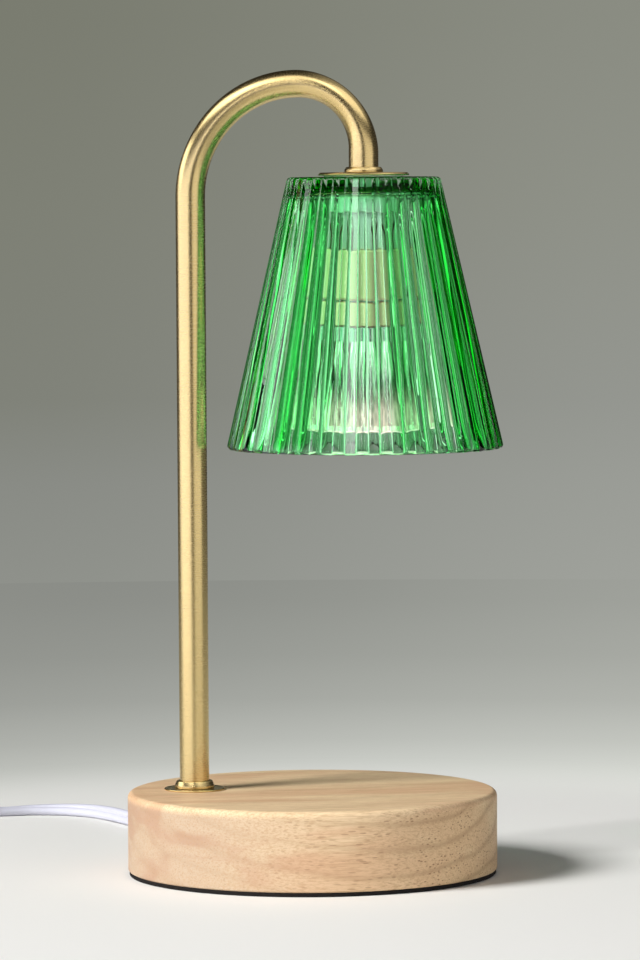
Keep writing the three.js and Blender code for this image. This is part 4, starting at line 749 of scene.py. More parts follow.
def studio_world():
    """Grey backdrop for the camera, gloss and glass, and a dim even fill for everything else."""
    world = bpy.data.worlds.new("studio")
    bpy.context.scene.world = world
    world.use_nodes = True
    backdrop = Nodes(world.node_tree)
    path = backdrop.node("ShaderNodeLightPath", {})
    kinds = ("Is Camera Ray", "Is Glossy Ray", "Is Transmission Ray")
    camera, gloss, through = (Reading(backdrop, path.outputs[kind]) for kind in kinds)
    way = backdrop.read("ShaderNodeTexCoord", {}, output="Generated")
    x, y, up = backdrop.parts(way)
    rise = (up + 0.08) / 0.14
    left, right = (backdrop.ramp(rise, [(share, grey(level, blue)) for share, level, blue in wall])
                   for wall in (LEFT_WALL, RIGHT_WALL))
    seen = backdrop.mix(x.clipped(-0.15, 0.0), left, right)
    right_flat = x.clipped(0.34, 0.40) * x.clipped(0.70, 0.8, 1, 0)
    left_flat = x.clipped(-0.56, -0.50, 1, 0) * x.clipped(-0.9, -0.8)
    dark = x.clipped(0.10, 0.16) + x.clipped(-0.32, -0.26, 1, 0)
    room = backdrop.mix(dark, seen, backdrop.mix(through, (0.05, 0.05, 0.05), (0.2, 0.2, 0.2)))
    room = backdrop.mix((right_flat + left_flat) * y.clipped(0, 0.3) * through, room, (2.0, 2.0, 1.95))
    room = backdrop.mix(y.clipped(-0.6, 0.0) * up.clipped(0.12, 0.3, 1, 0), (0.015, 0.015, 0.015), room)
    room = backdrop.mix(up.clipped(0.3, 0.55) * x.clipped(0.0, 0.35), room, (0.32, 0.32, 0.30))
    fill = backdrop.node("ShaderNodeBackground", {}, {0: (0.90, 0.92, 0.95), 1: 0.06})
    wall = backdrop.node("ShaderNodeBackground", {}, {0: backdrop.mix(camera, room, seen), 1: 1.0})
    sharp = camera.larger(gloss).larger(through)
    both = backdrop.node("ShaderNodeMixShader", {}, {0: sharp, 1: fill, 2: wall})
    backdrop.node("ShaderNodeOutputWorld", {}, {"Surface": both})


class LAMP_OT_stage(bpy.types.Operator):
    """Sets the camera, the pale floor and the soft studio light"""

    bl_idname = "lamp.stage"
    bl_label = "Camera, floor and light"

    def execute(self, context):
        data = bpy.data.cameras.new("camera")
        data.sensor_fit = "VERTICAL"
        data.sensor_height = FILM
        data.lens = LENS
        camera = bpy.data.objects.new("camera", data)
        context.scene.collection.objects.link(camera)
        camera.matrix_world = aim(*LOOK)
        context.scene.camera = camera
        rings = np.array([0, 0.1, 0.2, 0.3, 0.5, 0.8, 1.2, FLOOR_RADIUS]) / MM
        top = turned(np.stack([rings, rings * 0], -1), sides=96)
        under = turned(np.stack([rings[::-1], rings * 0 - FLOOR_THICKNESS / MM], -1), sides=96)
        piece("studio_floor", [np.concatenate([top, under])], pale_floor())
        for box in KEY_AND_FILL:
            softbox(*box, gloss=False)
        panel, *_ = [softbox(*box, gloss=True) for box in SEEN_IN_GLOSS]
        panel.color = PANEL_COLOUR
        studio_world()
        context.scene.view_settings.view_transform = "Standard"
        return {"FINISHED"}


# Cord, dimmer and plug

CORD_POINTS = [
    (-51.4, 82.25, 15), (-53.5, 85.6, 15), (-57.2, 91.6, 14.7), (-62, 99.2, 13.2), (-68, 109, 10.6),
    (-74.6, 120, 7.4), (-81.2, 131, 4.8), (-87.4, 141.2, 3.5), (-93.2, 150.6, 3.35), (-98.8, 160, 3.3),
    (-105, 169, 3.2), (-114.4, 180, 2.9), (-127.6, 186.6, 2.6), (-141.4, 187.4, 2.25), (-153.5, 183.6, 2.05),
    (-159.5, 181, 2.8), (-165, 179.2, 4.5), (-170, 178.2, 6.4), (-174.5, 178, 7.1), (-182, 178, 7.1),
    (-192, 178, 7.1),
]
CORD_TWISTS = [90, 90, 90, 90, 90, 88, 82, 74, 66, 62, 58, 46, 29, 13, 4, 0, 0, 0, 0, 0, 0]
CORD_ENTRY_Z = 7.1  # where the cord enters the dimmer and the plug
DIMMER_X, DIMMER_Y = -210.0, 178.0
COIL_X, COIL_Y, COIL_REST = -233.9, 119.0, 1.9
COIL_RADIUS, COIL_TURNS, COIL_LAYERS = 39.1, 7, 4
COIL_STEP_IN, COIL_STEP_UP = 7.0, 4.2  # a cord's width with its gap, and its thickness with its gap
COIL_LEAD = 6.7  # straight run before and after the turns
LINK_RADIUS = 29.0
LINK_START = 18.0  # from the dimmer's middle to where its outgoing cord starts
PLUG_DROP = 44.7  # from the coil's middle to where the cord ends in the plug


def twin_section(width, thickness, groove, steps=9):
    """Two round cores side by side: an arc at each end, and faces that dip by groove * exp(-(a / w)^2)."""
    lobe = thickness / 2
    offset = width / 2 - lobe
    angle = np.linspace(-np.pi / 2, np.pi / 2, steps)
    right = np.stack([offset + lobe * np.cos(angle), lobe * np.sin(angle)], -1)
    across = np.linspace(offset, -offset, 13)[1:-1]
    dip_width = 0.42
    top = np.stack([across, lobe - groove * np.exp(-((across / dip_width) ** 2))], -1)
    outline = np.concatenate([right, top, -right, -top])
    return np.concatenate([outline, outline[:1]])


def flat_sides(path, twists):
    """Width directions of a flat cord: level and square to its run, then raised about it by the twist."""
    tangent = unit(np.gradient(path, axis=0))
    side = unit(np.cross(tangent, (0, 0, 1)))
    rise = np.cross(side, tangent)
    turn = np.radians(twists)[:, None]
    return side * np.cos(turn) + rise * np.sin(turn)


def coil_path():
    """Out of the dimmer, round a quarter turn, seven turns of spiral in four layers, and down to the plug.
    In a turn the radius moves in by a cord's width, and out again on the next layer; between layers it
    climbs."""
    start_x = DIMMER_X - LINK_START
    link = np.array([[start_x - run, DIMMER_Y, CORD_ENTRY_Z] for run in (0, 8, 16)])
    steps = 13
    angle = np.linspace(np.pi / 2, np.pi, steps + 1)[1:]
    bend_x = COIL_X - COIL_RADIUS + LINK_RADIUS
    fall = smooth(0, 10, np.arange(1, steps + 1))
    bend = np.stack([bend_x + LINK_RADIUS * np.cos(angle),
                     DIMMER_Y - LINK_RADIUS + LINK_RADIUS * np.sin(angle),
                     CORD_ENTRY_Z + (COIL_REST - CORD_ENTRY_Z) * fall], -1)
    turns = np.linspace(0, COIL_TURNS, COIL_TURNS * 40 + 1)
    per_layer = COIL_TURNS / COIL_LAYERS
    layer = np.minimum(np.floor(turns / per_layer + 1e-9), COIL_LAYERS - 1)
    inside = turns - layer * per_layer
    inwards = np.where(layer % 2 == 0, inside, per_layer - inside)
    radius = COIL_RADIUS - COIL_STEP_IN * inwards
    climbs = sum(smooth(-0.25, 0.25, turns - k * per_layer) for k in range(1, COIL_LAYERS))
    height = COIL_REST + COIL_STEP_UP * climbs
    around = np.pi + 2 * np.pi * turns
    coil = np.stack([COIL_X + radius * np.cos(around), COIL_Y + radius * np.sin(around), height], -1)
    tail_start = COIL_Y - COIL_LEAD
    tail_shares = np.array([0.3, 0.45, 0.62, 0.79, 0.92, 1.0])
    down_shares = np.array([0, 0.04, 0.3, 0.72, 0.97, 1.0])
    tail = np.stack([np.full(len(tail_shares), COIL_X - COIL_RADIUS),
                     tail_start - (PLUG_DROP - COIL_LEAD) * tail_shares,
                     height[-1] + (CORD_ENTRY_Z - height[-1]) * down_shares], -1)
    lead = (0, COIL_LEAD, 0)
    return np.concatenate([link, bend, coil[:1] + lead, coil, coil[-1:] - lead, tail])


class LAMP_OT_cord(bpy.types.Operator):
    """Lays the flat twin cord from the base to the dimmer, and coils the rest up to the plug"""

    bl_idname = "lamp.cord"
    bl_label = "Cord and strain relief"

    def execute(self, context):
        sizes = context.scene.lamp_sizes
        width = sizes.cord_width / MM
        section = twin_section(width, sizes.cord_thickness / MM, sizes.cord_groove / MM)
        front = spline(CORD_POINTS, 150)
        rest = coil_path()
        long = evened(rest, 620)
        front_skin = capped(carried(front, flat_sides(front, self.twist(front)), section))
        cord = piece("front_cord", [front_skin], cord_sheath(), replaces=("cord_free",))
        long_skin = capped(carried(long, flat_sides(long, np.zeros(len(long))), section))
        coil = piece("coiled_cord", [long_skin], cord_sheath(),
                     replaces=("cord_link", "cord_coil", "cord_tail"))
        self.relief()
        return {"FINISHED"}

    def twist(self, front):
        """Twist at each point of the line: the chosen ones by length along it, smoothed by weights
        exp(-t^2)."""
        knots = runs(np.array(CORD_POINTS, float))
        twist = np.interp(np.linspace(0, knots[-1], len(front)), knots, CORD_TWISTS)
        weights = np.exp(-(np.linspace(-2, 2, 13) ** 2))
        return np.convolve(np.pad(twist, 6, "edge"), weights / weights.sum(), "valid")

    def relief(self):
        """Strain relief: a collar on the wall and a tail with four grooves whose radius runs evenly from
        root to tip. It is turned upright, then laid along the cord's way out: out, side and up are its z, x
        and y."""
        inner_end, start, tail, grooves, groove_depth = 61.0, 75.3, 24.0, 4, 0.6
        root, tip, collar_radius, collar_length, blend = 5.0, 4.3, 6.6, 1.6, 0.3
        foot = start + collar_length
        end = foot + tail + blend
        pitch = tail / (grooves + 1)
        at = np.linspace(0, tail, 241)
        phase = (at / pitch - 0.75) % 1
        cut = (phase < 0.5) & (at > 0.75 * pitch) & (at < (grooves + 0.3) * pitch)
        edge = np.minimum(phase, 0.5 - phase).clip(0, 0.08) / 0.08
        radius = root + (tip - root) * at / tail - groove_depth * np.where(cut, smooth(0, 1, edge), 0)
        collar = eased([(root, start, 0), (collar_radius, start, 0.3), (collar_radius, foot, 0.5),
                        (root, foot, 0)])
        body = np.stack([radius, foot + at], -1)
        nose = eased([(tip, foot + tail - 0.01, 0), (tip, end, blend - 0.01), (0, end, 0)])
        profile = np.concatenate([[(0, inner_end), (root, inner_end)], collar, body[1:-4], nose])
        upright = turned(profile, sides=64)
        out, side, up = upright[..., 2], upright[..., 0], upright[..., 1]
        cos, sin = math.cos(EXIT_ANGLE), math.sin(EXIT_ANGLE)
        placed = np.stack([out * cos - side * sin, out * sin + side * cos, up + EXIT_HEIGHT], -1)
        piece("strain_relief", [placed], white_plastic(), replaces=("cord_relief",))


class LAMP_OT_dimmer(bpy.types.Operator):
    """Softens the in-line dimmer's shells and wheel, and finishes what is inside it"""

    bl_idname = "lamp.dimmer"
    bl_label = "In-line dimmer"

    def execute(self, context):
        softened("dimmer_base", "dimmer_lower_shell", white_plastic(), 0.35)
        softened("dimmer_cover", "dimmer_upper_shell", white_plastic(), 0.35)
        softened("dimmer_wheel", "dimmer_thumbwheel", grey_plastic(), 0.18, body="wheel")
        paint(plated_steel(), "dimmer_spindle", "dimmer_screw_1", "dimmer_screw_2")
        paint(grey_plastic(), "dimmer_pot")
        paint(green_board(), "dimmer_board")
        return {"FINISHED"}


class LAMP_OT_plug(bpy.types.Operator):
    """Softens the plug's body and finishes its two blades"""

    bl_idname = "lamp.plug"
    bl_label = "Plug"

    def execute(self, context):
        softened("plug_body", "plug_moulding", white_plastic(), 0.4)
        paint(bright_brass(), "plug_blade_live", "plug_blade_neutral")
        return {"FINISHED"}


# Base and arm

BASE_RADIUS, POCKET_RADIUS, POCKET_TOP = 75.0, 62.0, 19.7
PAD_RADIUS, PAD_ROUND = 74.5, 0.35
POLE_BEND_RUN, POLE_BEND_RISE = 43.4, 45.7  # half axes of the arch over the pole
HEAD_BEND_RUN, HEAD_BEND_RISE = 27.0, 27.5  # and over the head
BEND_FLAT, TIGHT_FLAT, SPREAD = 0.065, 0.085, 0.6  # how far the bends press the tube flat, and widen it
CROWN_Z = 319.9
NIPPLE_HOLE = 5.0  # radius of the holes for the head's and foot's nipples


class LAMP_OT_base(bpy.types.Operator):
    """Turns the wooden base with its pocket, and the foam pad under it"""

    bl_idname = "lamp.base"
    bl_label = "Wooden base and pad"

    def execute(self, context):
        top_round = context.scene.lamp_sizes.base_top_round / MM
        block = [(0, POCKET_TOP, 0), (POCKET_RADIUS, POCKET_TOP, 0.6), (POCKET_RADIUS, BASE_FOOT, 0.4),
                 (BASE_RADIUS, BASE_FOOT, 0.8), (BASE_RADIUS, BASE_TOP, top_round), (0, BASE_TOP, 0)]
        spun("wooden_base", block, 9, turned_wood(), "base_block", x=0, sides=288)
        pad = [(0, 0, 0), (PAD_RADIUS, 0, PAD_ROUND), (PAD_RADIUS, BASE_FOOT, PAD_ROUND), (0, BASE_FOOT, 0)]
        spun("foam_pad", pad, 4, black_foam(), "base_pad", x=0, sides=288)
        paint(cast_iron(), "ballast_plate")
        paint(plated_steel(), "ballast_screw_1", "ballast_screw_2", "saddle_screw_1", "saddle_screw_2",
              "terminal_screw", "foot_nipple", "foot_washer", "foot_nut")
        paint(white_plastic(), "cord_saddle", "terminal_block", "flex_inside")
        paint(bright_brass(), "terminal_tube_1", "terminal_tube_2")
        return {"FINISHED"}


def arch(sideways, low, high, steps=46):
    """Centreline of the arm: up the pole, a quarter ellipse (-run cos t, -rise (1 - sin t)) from the crown,
    a tighter one down, and straight to the head. Returns the points and how far each is flattened."""
    crown_x = POLE_X + POLE_BEND_RUN
    t = np.linspace(0, 1, steps)
    quarter = np.pi / 2 * t
    cos, sin = np.cos(quarter), np.sin(quarter)
    pole = np.stack([crown_x - POLE_BEND_RUN * cos, CROWN_Z - POLE_BEND_RISE * (1 - sin)], -1)
    head = np.stack([crown_x + HEAD_BEND_RUN * sin, CROWN_Z - HEAD_BEND_RISE * (1 - cos)], -1)
    up = np.stack([np.full(12, POLE_X), np.linspace(low, CROWN_Z - POLE_BEND_RISE, 13)[:-1]], -1)
    down = np.stack([np.full(6, HEAD_X), np.linspace(CROWN_Z - HEAD_BEND_RISE, high, 7)[1:]], -1)
    over_head = BEND_FLAT * (1 - t[1:]) + TIGHT_FLAT * np.sin(np.pi * t[1:])
    flat = np.concatenate([np.zeros(12), BEND_FLAT * t, over_head, np.zeros(6)])
    points = np.concatenate([up, pole, head[1:], down])
    return np.stack([points[:, 0], np.full(len(points), sideways), points[:, 1]], -1), flat


class LAMP_OT_arm(bpy.types.Operator):
    """Bends the brass tube and turns its flange, collars and disc"""

    bl_idname = "lamp.arm"
    bl_label = "Brass arm"

    def execute(self, context):
        sizes = context.scene.lamp_sizes
        radius, wall = sizes.arm_radius / MM, sizes.arm_wall / MM
        path, flat = arch(0, heights("foot_flange")[1], heights("head_disc")[1])
        side = np.broadcast_to((0.0, 1.0, 0.0), path.shape)
        outside, inside = (carried(path, side, ring_section(r, 72), 1 + SPREAD * flat, 1 - flat)
                           for r in (radius, radius - wall))
        skin = np.concatenate([outside, inside[::-1], outside[:1]])
        piece("bent_tube", [skin], brushed_brass(), replaces=("arm_tube",))
        self.flange()
        self.collar("foot_ring", "foot_collar", POLE_X, 8.0)
        self.collar("head_ring", "head_collar", HEAD_X, 7.8)
        self.disc()
        return {"FINISHED"}

    def flange(self):
        """Thin flange with a rolled rim: its top dips a little inside the rim."""
        low, high = heights("foot_flange")
        radius, hole, seam, dip = 12.3, NIPPLE_HOLE - 0.1, 8.6, 0.12
        corners = [(seam, low, 0), (radius, low, 0.3), (radius, high, 0.34), (radius - 0.9, high, 0.15),
                   (radius - 1.3, high - dip, 0.15), (hole, high - dip, 0.05), (hole, low, 0.1), (seam, low, 0)]
        spun("foot_plate", corners, 5, brushed_brass(), "foot_flange", x=POLE_X)

    def collar(self, name, node, x, radius):
        """Collar with a foot bead, a straight band and a shoulder that rolls in to the tube."""
        low, high = heights(node)
        hole, seam, bead, shoulder = 6.3, 7, 1.1, 0.8
        corners = [(seam, low, 0), (radius, low, 0.2), (radius, low + bead, 0.6),
                   (radius - shoulder, high, 0.4), (hole, high, 0.2), (hole, low, 0.1), (seam, low, 0)]
        spun(name, corners, 8, brushed_brass(), node, x=x)

    def disc(self):
        """Disc over the shade: flat on top, its rim bevelled to the glass."""
        low, high = heights("head_disc")
        radius, top_radius, edge, seam = 18.5, 17.7, 0.4, 12
        corners = [(seam, low, 0), (radius - edge, low, 0.15), (radius, low + edge, 0.15),
                   (top_radius, high, 0.3), (NIPPLE_HOLE, high, 0.1), (NIPPLE_HOLE, low, 0.1), (seam, low, 0)]
        spun("cover_disc", corners, 5, brushed_brass(), "head_disc")


LEAD_RADIUS, LEAD_APART, HOLDER_X = 1.1, 1.4, 22.3
LEAD_LOW = {  # from the terminals to the foot of the pole, live at -1 and neutral at 1
    -1: [(-11.1, 27.2, 11.4), (-8.7, 23.3, 11.5), (-5.9, 19.7, 10.5), (-4.2, 15.8, 9.1), (-4.7, 11.2, 8.3),
         (-7.6, 2.5, 7.4), (-10.3, -1.3, 7.0), (-14.4, -3.1, 6.8), (-19.1, -2.9, 6.8), (-28.3, -1.5, 6.9),
         (-37.5, -1.4, 6.4), (-42.2, -1.4, 6.2), (-46.3, -1.4, 7.9)],
    1: [(-19.6, 21.9, 11.4), (-17.5, 18.6, 11.5), (-15.4, 15.3, 11.0), (-13.3, 12.2, 9.6), (-11.8, 8.7, 8.5),
        (-10.8, 5.0, 7.6), (-11.9, 1.6, 6.8), (-15.8, 0.8, 6.7), (-23.7, 1.1, 6.8), (-31.7, 1.4, 6.9),
        (-39.6, 1.4, 6.2), (-43.5, 1.4, 6.4), (-46.7, 1.4, 8.5)],
}
LEAD_BOW = [  # from the tube's end to the lampholder: away from its middle, sideways, and z
    (0, 1.4, 265), (0.9, 1.43, 263.4), (2.4, 1.28, 262.3), (4.2, 1.0, 261.9), (6.0, 0.72, 261.3),
    (7.6, 0.46, 260.4), (9.1, 0.2, 259.3), (10.2, 0, 257.8), (10.4, 0, 256), (10.3, 0, 254), (10.2, 0, 252.2),
    (10.2, 0, 248.5),
]


class LAMP_OT_leads(bpy.types.Operator):
    """Draws the two sleeved leads from the terminals through the arm into the lampholder"""

    bl_idname = "lamp.leads"
    bl_label = "Sleeved leads"

    def execute(self, context):
        for side, name in ((-1, "live"), (1, "neutral")):
            middle, _ = arch(side * LEAD_APART, 14, 266)
            bow = [(HOLDER_X + side * a, side * b, z) for a, b, z in LEAD_BOW]
            path = spline([*LEAD_LOW[side], *middle[::3][:-1], *bow], 460)
            start = np.broadcast_to((0.3, 1.0, 0.2), path.shape)
            tube = capped(carried(path, start, ring_section(LEAD_RADIUS, 14)))
            piece(f"{name}_sleeve", [tube], braided_sleeve(), replaces=(f"{name}_lead",))
        return {"FINISHED"}


# Shade, head and bulb

SHADE_FOOT, SHADE_TOP = heights("glass_shade")
CEILING = SHADE_TOP - 6.2
FOOT_RADIUS, TOP_RADIUS = 56.2, 30.9  # over the ribs
LOBE_SHARE, CREST_SHARE, FLAT_SHARE = 0.58, 0.29, 0.79  # end and crest of a rib's lobe, middle of its flat
PITCH_SHARES = np.array([0, 0.012, 0.03, 0.06, 0.1, 0.15, 0.2, 0.245, 0.29, 0.335, 0.38, 0.43, 0.48, 0.52,
                         0.55, 0.568, 0.58, 0.65, 0.79, 0.93])
STAIN_GAP, STAIN_DEPTH = 0.05, 0.24


def cone(height):
    """Radius of the shade over its ribs, which runs evenly from foot to top."""
    return FOOT_RADIUS + (TOP_RADIUS - FOOT_RADIUS) * (height - SHADE_FOOT) / (SHADE_TOP - SHADE_FOOT)


def rib_height(share):
    """Height of the glass across one pitch: a round lobe (1 - x^2)^0.68 over its share of it, then a flat
    band."""
    x = (share - CREST_SHARE) / CREST_SHARE
    return np.where(share < LOBE_SHARE, np.clip(1 - x * x, 0, 1) ** 0.68, 0)


def pitches(ribs):
    """Places round the shade, counted in ribs: the same shares of every pitch."""
    return (np.arange(ribs)[:, None] + PITCH_SHARES).ravel()


class LAMP_OT_shade(bpy.types.Operator):
    """Presses the ribbed glass shade with its thick top, and lays the green stain inside it"""

    bl_idname = "lamp.shade"
    bl_label = "Glass shade"

    def execute(self, context):
        sizes = context.scene.lamp_sizes
        outer, inner = self.half_section(sizes.rib_depth, sizes.glass_wall / MM)
        grid = self.glass(outer, inner, sizes.rib_count, sizes.rib_depth)
        piece("ribbed_shade", [grid], green_glass(), replaces=("glass_shade",), sharp=26)
        self.stain(grid[len(outer) + 3 : -3, :-1], sizes.rib_count)
        return {"FINISHED"}

    def half_section(self, depth, wall):
        """Outer and inner rows of the glass: a cone outside, and inside it the same one less a flute's
        depth and the wall. Each wall has 22 rows between its rounded corners."""

        def hollow(height):
            return cone(height) * (1 - depth) - wall

        steps = 9
        rim = FOOT_RADIUS - 2.4
        outer = eased([(rim, SHADE_FOOT, 0), (FOOT_RADIUS, SHADE_FOOT, 1.5), (TOP_RADIUS, SHADE_TOP, 1.8),
                       (TOP_RADIUS - 6, SHADE_TOP, 0)], steps)
        rows = np.linspace(SHADE_FOOT + 1.9, SHADE_TOP - 2.2, 22)
        outer = np.concatenate([outer[: 1 + steps], np.stack([cone(rows), rows], -1), outer[1 + steps :]])
        inner = eased([(NIPPLE_HOLE, SHADE_TOP, 0.2), (NIPPLE_HOLE, CEILING, 0.3),
                       (hollow(CEILING), CEILING, 3.8), (hollow(SHADE_FOOT), SHADE_FOOT, 0.7),
                       (rim, SHADE_FOOT, 0)], steps)
        down = np.linspace(0, 1, 24)[1:-1, None]
        above, below = inner[: 3 * steps], inner[3 * steps :]
        return outer, np.concatenate([outer[-1:] * 0.5 + inner[:1] * 0.5, above,
                                      above[-1] * (1 - down) + below[0] * down, below])

    def glass(self, outer, inner, ribs, depth):
        """Surface of the glass. Outside, a radius r becomes r (1 - depth (1 - rib height)), and the band
        between two lobes is flat: r cos(half its angle) / cos(angle from its middle). Inside, r takes slow
        waves and a shallow rib, -0.3 (1 + cos), over each outer one. Both fade out at the foot and the
        top."""
        profile = np.concatenate([outer, inner])
        fade = smooth(SHADE_FOOT - 0.6, SHADE_FOOT + 1.5, outer[:, 1])
        fade = fade * smooth(TOP_RADIUS - 8, TOP_RADIUS - 1.2, outer[:, 0])
        fade = np.concatenate([fade, np.zeros(len(inner))])[:, None]
        height = np.tile(rib_height(PITCH_SHARES), ribs)
        pitch = 2 * np.pi / ribs
        off_middle, half_flat = (PITCH_SHARES - FLAT_SHARE) * pitch, (1 - LOBE_SHARE) * pitch / 2
        band = np.where(PITCH_SHARES >= LOBE_SHARE, np.cos(half_flat) / np.cos(off_middle), 1)
        angle = np.append(2 * np.pi * pitches(ribs) / ribs, 2 * np.pi)
        height = np.append(height, height[0])
        band = np.append(np.tile(band, ribs), band[0])
        radius = profile[:, :1] * (1 - depth * fade * (1 - height)) * (1 + fade * (band - 1))
        z = np.broadcast_to(profile[:, 1:], radius.shape)
        waves = 0.05 * np.sin(angle * 7 + z * 0.11) + 0.04 * np.sin(angle * 13 - z * 0.19)
        waves = waves - 0.3 - 0.3 * np.cos(angle * ribs - 2 * np.pi * CREST_SHARE)
        inside = (np.arange(len(profile)) > len(outer) + 12)[:, None]
        inside = inside & (z > SHADE_FOOT + 1) & (z < CEILING - 4)
        waves = waves * inside * smooth(SHADE_FOOT + 1, SHADE_FOOT + 8, z)
        radius = radius + waves * (1 - smooth(CEILING - 16, CEILING - 5, z))
        grid = np.stack([HEAD_X + radius * np.cos(angle), radius * np.sin(angle), z], -1)
        return np.concatenate([grid, grid[:1]])

    def stain(self, skin, ribs):
        """Stain inside the glass, from a small gap under its inner skin to a depth that differs from rib to
        rib: the stain's depth x the rib's own share, 0.35 + 2.6 d^2 with d a plain random draw, less at the
        front, x (1 + 0.5 c^2 + 0.15 c), with c the cosine of its angle. The thinning at the front, where the
        glass faces the camera, is painted light, and the deepening towards the sides and most on the right,
        away from the key light, is painted shade. Each point moves along the skin's normal, which is the
        cross product of its directions down a column and along a row."""
        draw = np.random.default_rng(1).uniform(0, 1, ribs)
        front = np.cos(2 * np.pi * (np.arange(ribs) + 0.5) / ribs - np.radians(285))
        # painted light: the stain is thinner on the ribs that face the camera
        own = (0.35 + 2.6 * draw**2) * (1 - 0.45 * smooth(0.9, 1, front))
        lobe_ends = np.add.outer(np.arange(ribs), (0.02, 0.56)).ravel()
        share = np.interp(pitches(ribs), lobe_ends, np.repeat(own, 2), period=ribs)
        normal = unit(np.cross(np.gradient(skin, axis=0), np.roll(skin, -1, 1) - np.roll(skin, 1, 1)))
        z = skin[..., 2]
        wall = smooth(SHADE_FOOT + 0.5, SHADE_FOOT + 4, z) * (1 - smooth(CEILING - 6, CEILING - 1, z))
        aside = skin[..., 0] - HEAD_X
        right = aside / np.hypot(aside, skin[..., 1])
        # painted shade: the stain deepens towards both sides and most on the right, away from the key light
        depth = STAIN_DEPTH * (1 + (share - 1) * wall) * (1 + 0.5 * right**2 + 0.15 * right)
        near, far = skin + STAIN_GAP * normal, skin + (STAIN_GAP + depth[..., None]) * normal
        film = np.concatenate([near, far[::-1], near[:1]])
        film = np.concatenate([film, film[:, :1]], 1)
        piece("shade_stain", [film], green_stain())


class LAMP_OT_head(bpy.types.Operator):
    """Makes the gaskets, cup and strap that hold the shade, and the ceramic lampholder"""

    bl_idname = "lamp.head"
    bl_label = "Shade clamp and lampholder"

    def execute(self, context):
        self.seal("seal_above", "upper_gasket", 16.0)
        self.seal("seal_below", "lower_gasket", 13.0)
        low, high = heights("clamp_cup")
        outside, sheet, seam = 13.5, 1.2, 8
        inside, floor = outside - sheet, high - sheet
        corners = [(seam, high, 0), (outside, high, 1.2), (outside, low, 0.35), (inside, low, 0.35),
                   (inside, floor, 0.5), (NIPPLE_HOLE, floor, 0.1), (NIPPLE_HOLE, high, 0.1), (seam, high, 0)]
        spun("pressed_cup", corners, 6, plated_steel(), "clamp_cup")
        softened("holder_bracket", "holder_strap", plated_steel(), 0.25)
        softened("lampholder_body", "ceramic_holder", cream_ceramic(), 0.3, sharp=25)
        paint(plated_steel(), "shade_nut", "bracket_nut", "head_nipple", "holder_screw_1", "holder_screw_2")
        paint(bright_brass(), "holder_contact_1", "holder_contact_2")
        return {"FINISHED"}

    def seal(self, name, node, radius):
        """Flat gasket with eased edges."""
        low, high = heights(node)
        seam = 9
        corners = [(seam, low, 0), (radius, low, 0.2), (radius, high, 0.2), (NIPPLE_HOLE, high, 0.1),
                   (NIPPLE_HOLE, low, 0.1), (seam, low, 0)]
        spun(name, corners, 4, silicone(), node)


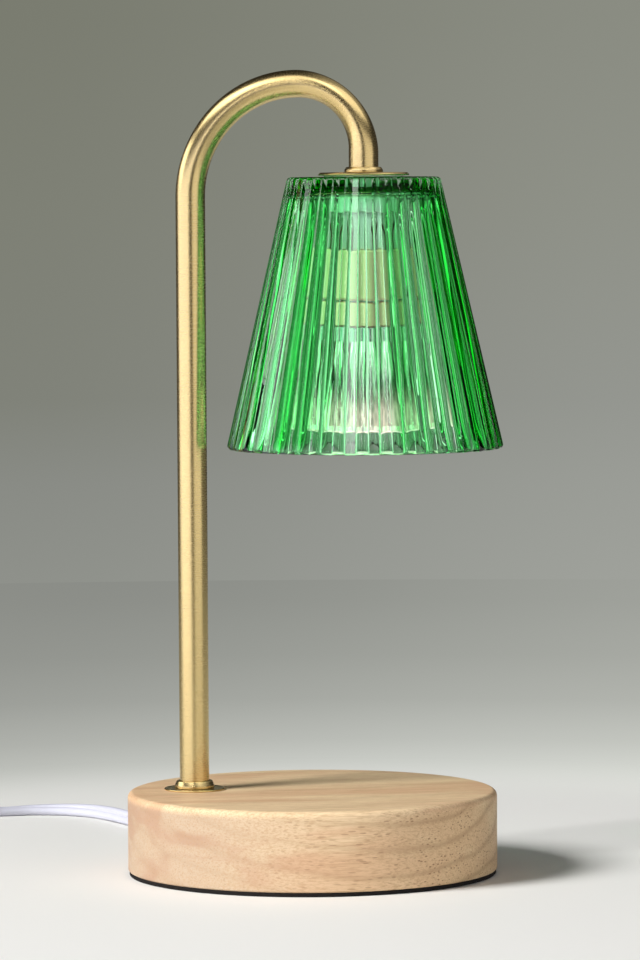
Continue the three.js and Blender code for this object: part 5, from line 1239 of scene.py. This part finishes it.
class LAMP_OT_bulb(bpy.types.Operator):
    """Makes the reflector bulb: ceramic base, faceted bowl, rippled front glass and capsule"""

    bl_idname = "lamp.bulb"
    bl_label = "Reflector bulb"

    def execute(self, context):
        low, high = heights("bulb_base")
        shoulder, narrow, wide = low + 5, 10.6, 12
        corners = [(0, low, 0), (narrow, low, 0.4), (narrow, shoulder, 0.3), (wide, shoulder, 0.4),
                   (wide, high, 1.2), (0, high, 0)]
        spun("bulb_cap", corners, 5, cream_ceramic(), "bulb_base", sides=96, body="bulb")
        self.bowl()
        back, front, radius = BULB_FACE + 0.3, BULB_FACE + 1.5, 23.4
        corners = [(0, back, 0), (radius, back, 0.3), (radius, front, 0.3), (0, front, 0)]
        spun("front_glass", corners, 4, lit_glass(), "bulb_lens", sides=96, body="bulb")
        low, high = heights("bulb_capsule")
        radius = 4.5
        corners = [(0, low, 0), (radius, low, 3.2), (radius, high, 0.1), (0, high, 0)]
        spun("halogen_capsule", corners, 10, lit_glass(), "bulb_capsule", sides=48, body="bulb")
        paint(plated_steel(), "bulb_pin_1", "bulb_pin_2")
        return {"FINISHED"}

    def bowl(self):
        """Bowl of a paraboloid r ~ sqrt(depth), pressed into 48 columns of facets whose rows are set half a
        facet apart: the points of every second row turn by half a column."""
        neck, neck_hole, rim, rim_hole, lip = 12.3, 10.9, 25.0, 22.4, 2.4
        neck_foot = BULB_TOP - 6
        bowl_height = neck_foot - BULB_FACE - lip
        vertex = bowl_height * 0.16
        down = np.linspace(0, 1, 9)
        curve = np.sqrt(vertex + down * bowl_height)
        first, last = math.sqrt(vertex), math.sqrt(vertex + bowl_height)
        z = neck_foot - down * bowl_height
        out, back = (np.stack([top + (foot - top) * (curve - first) / (last - first), z], -1)
                     for top, foot in ((neck, rim), (neck_hole, rim_hole)))
        seam = 11.6
        top = eased([(seam, BULB_TOP, 0), (neck, BULB_TOP, 0.4), (neck, neck_foot, 0)], 4)
        edge = eased([(rim, BULB_FACE + lip, 0), (rim, BULB_FACE, 0.8), (rim - 1.2, BULB_FACE, 0.3),
                      (rim - 1.2, BULB_FACE + 1.9, 0.1), (rim_hole, BULB_FACE + lip, 0)], 5)
        neck_end = [(neck_hole, BULB_TOP), (seam, BULB_TOP)]
        profile = np.concatenate([top[:-1], out, edge[1:-1], back[::-1], neck_end])
        sides = 48
        grid = turned(profile, HEAD_X, sides)
        turn = np.zeros(len(profile))
        turn[len(top) : len(top) + 7 : 2] = np.pi / sides
        x, y = grid[..., 0] - HEAD_X, grid[..., 1].copy()
        cos, sin = np.cos(turn)[:, None], np.sin(turn)[:, None]
        grid[..., 0], grid[..., 1] = HEAD_X + x * cos - y * sin, x * sin + y * cos
        piece("faceted_bowl", [grid], silvered_glass(), body="bulb", replaces=("bulb_reflector",),
              sharp=4)


# Panel and registration

STEPS = (LAMP_OT_stage, LAMP_OT_dimmer, LAMP_OT_plug, LAMP_OT_cord, LAMP_OT_base, LAMP_OT_arm, LAMP_OT_leads,
         LAMP_OT_shade, LAMP_OT_head, LAMP_OT_bulb)


class LAMP_PT_sidebar(bpy.types.Panel):
    """Lists the lamp's sizes, colours and pieces"""

    bl_idname = "LAMP_PT_sidebar"
    bl_label = "Candle Warmer Lamp"
    bl_space_type = "VIEW_3D"
    bl_region_type = "UI"
    bl_category = "Lamp"

    def draw(self, context):
        column = self.layout.column()
        for group in (context.scene.lamp_sizes, context.scene.lamp_colours):
            for key in group.__annotations__:
                column.prop(group, key)
        for step in STEPS:
            column.operator(step.bl_idname)


CLASSES = (LampSizes, LampColours, *STEPS, LAMP_PT_sidebar)


def register():
    for kind in CLASSES:
        bpy.utils.register_class(kind)
    bpy.types.Scene.lamp_sizes = PointerProperty(type=LampSizes)
    bpy.types.Scene.lamp_colours = PointerProperty(type=LampColours)


def unregister():
    del bpy.types.Scene.lamp_colours
    del bpy.types.Scene.lamp_sizes
    for kind in reversed(CLASSES):
        bpy.utils.unregister_class(kind)


def main():
    register()
    for step in STEPS:
        group, name = step.bl_idname.split(".")
        getattr(getattr(bpy.ops, group), name)()


if __name__ == "__main__":
    main()
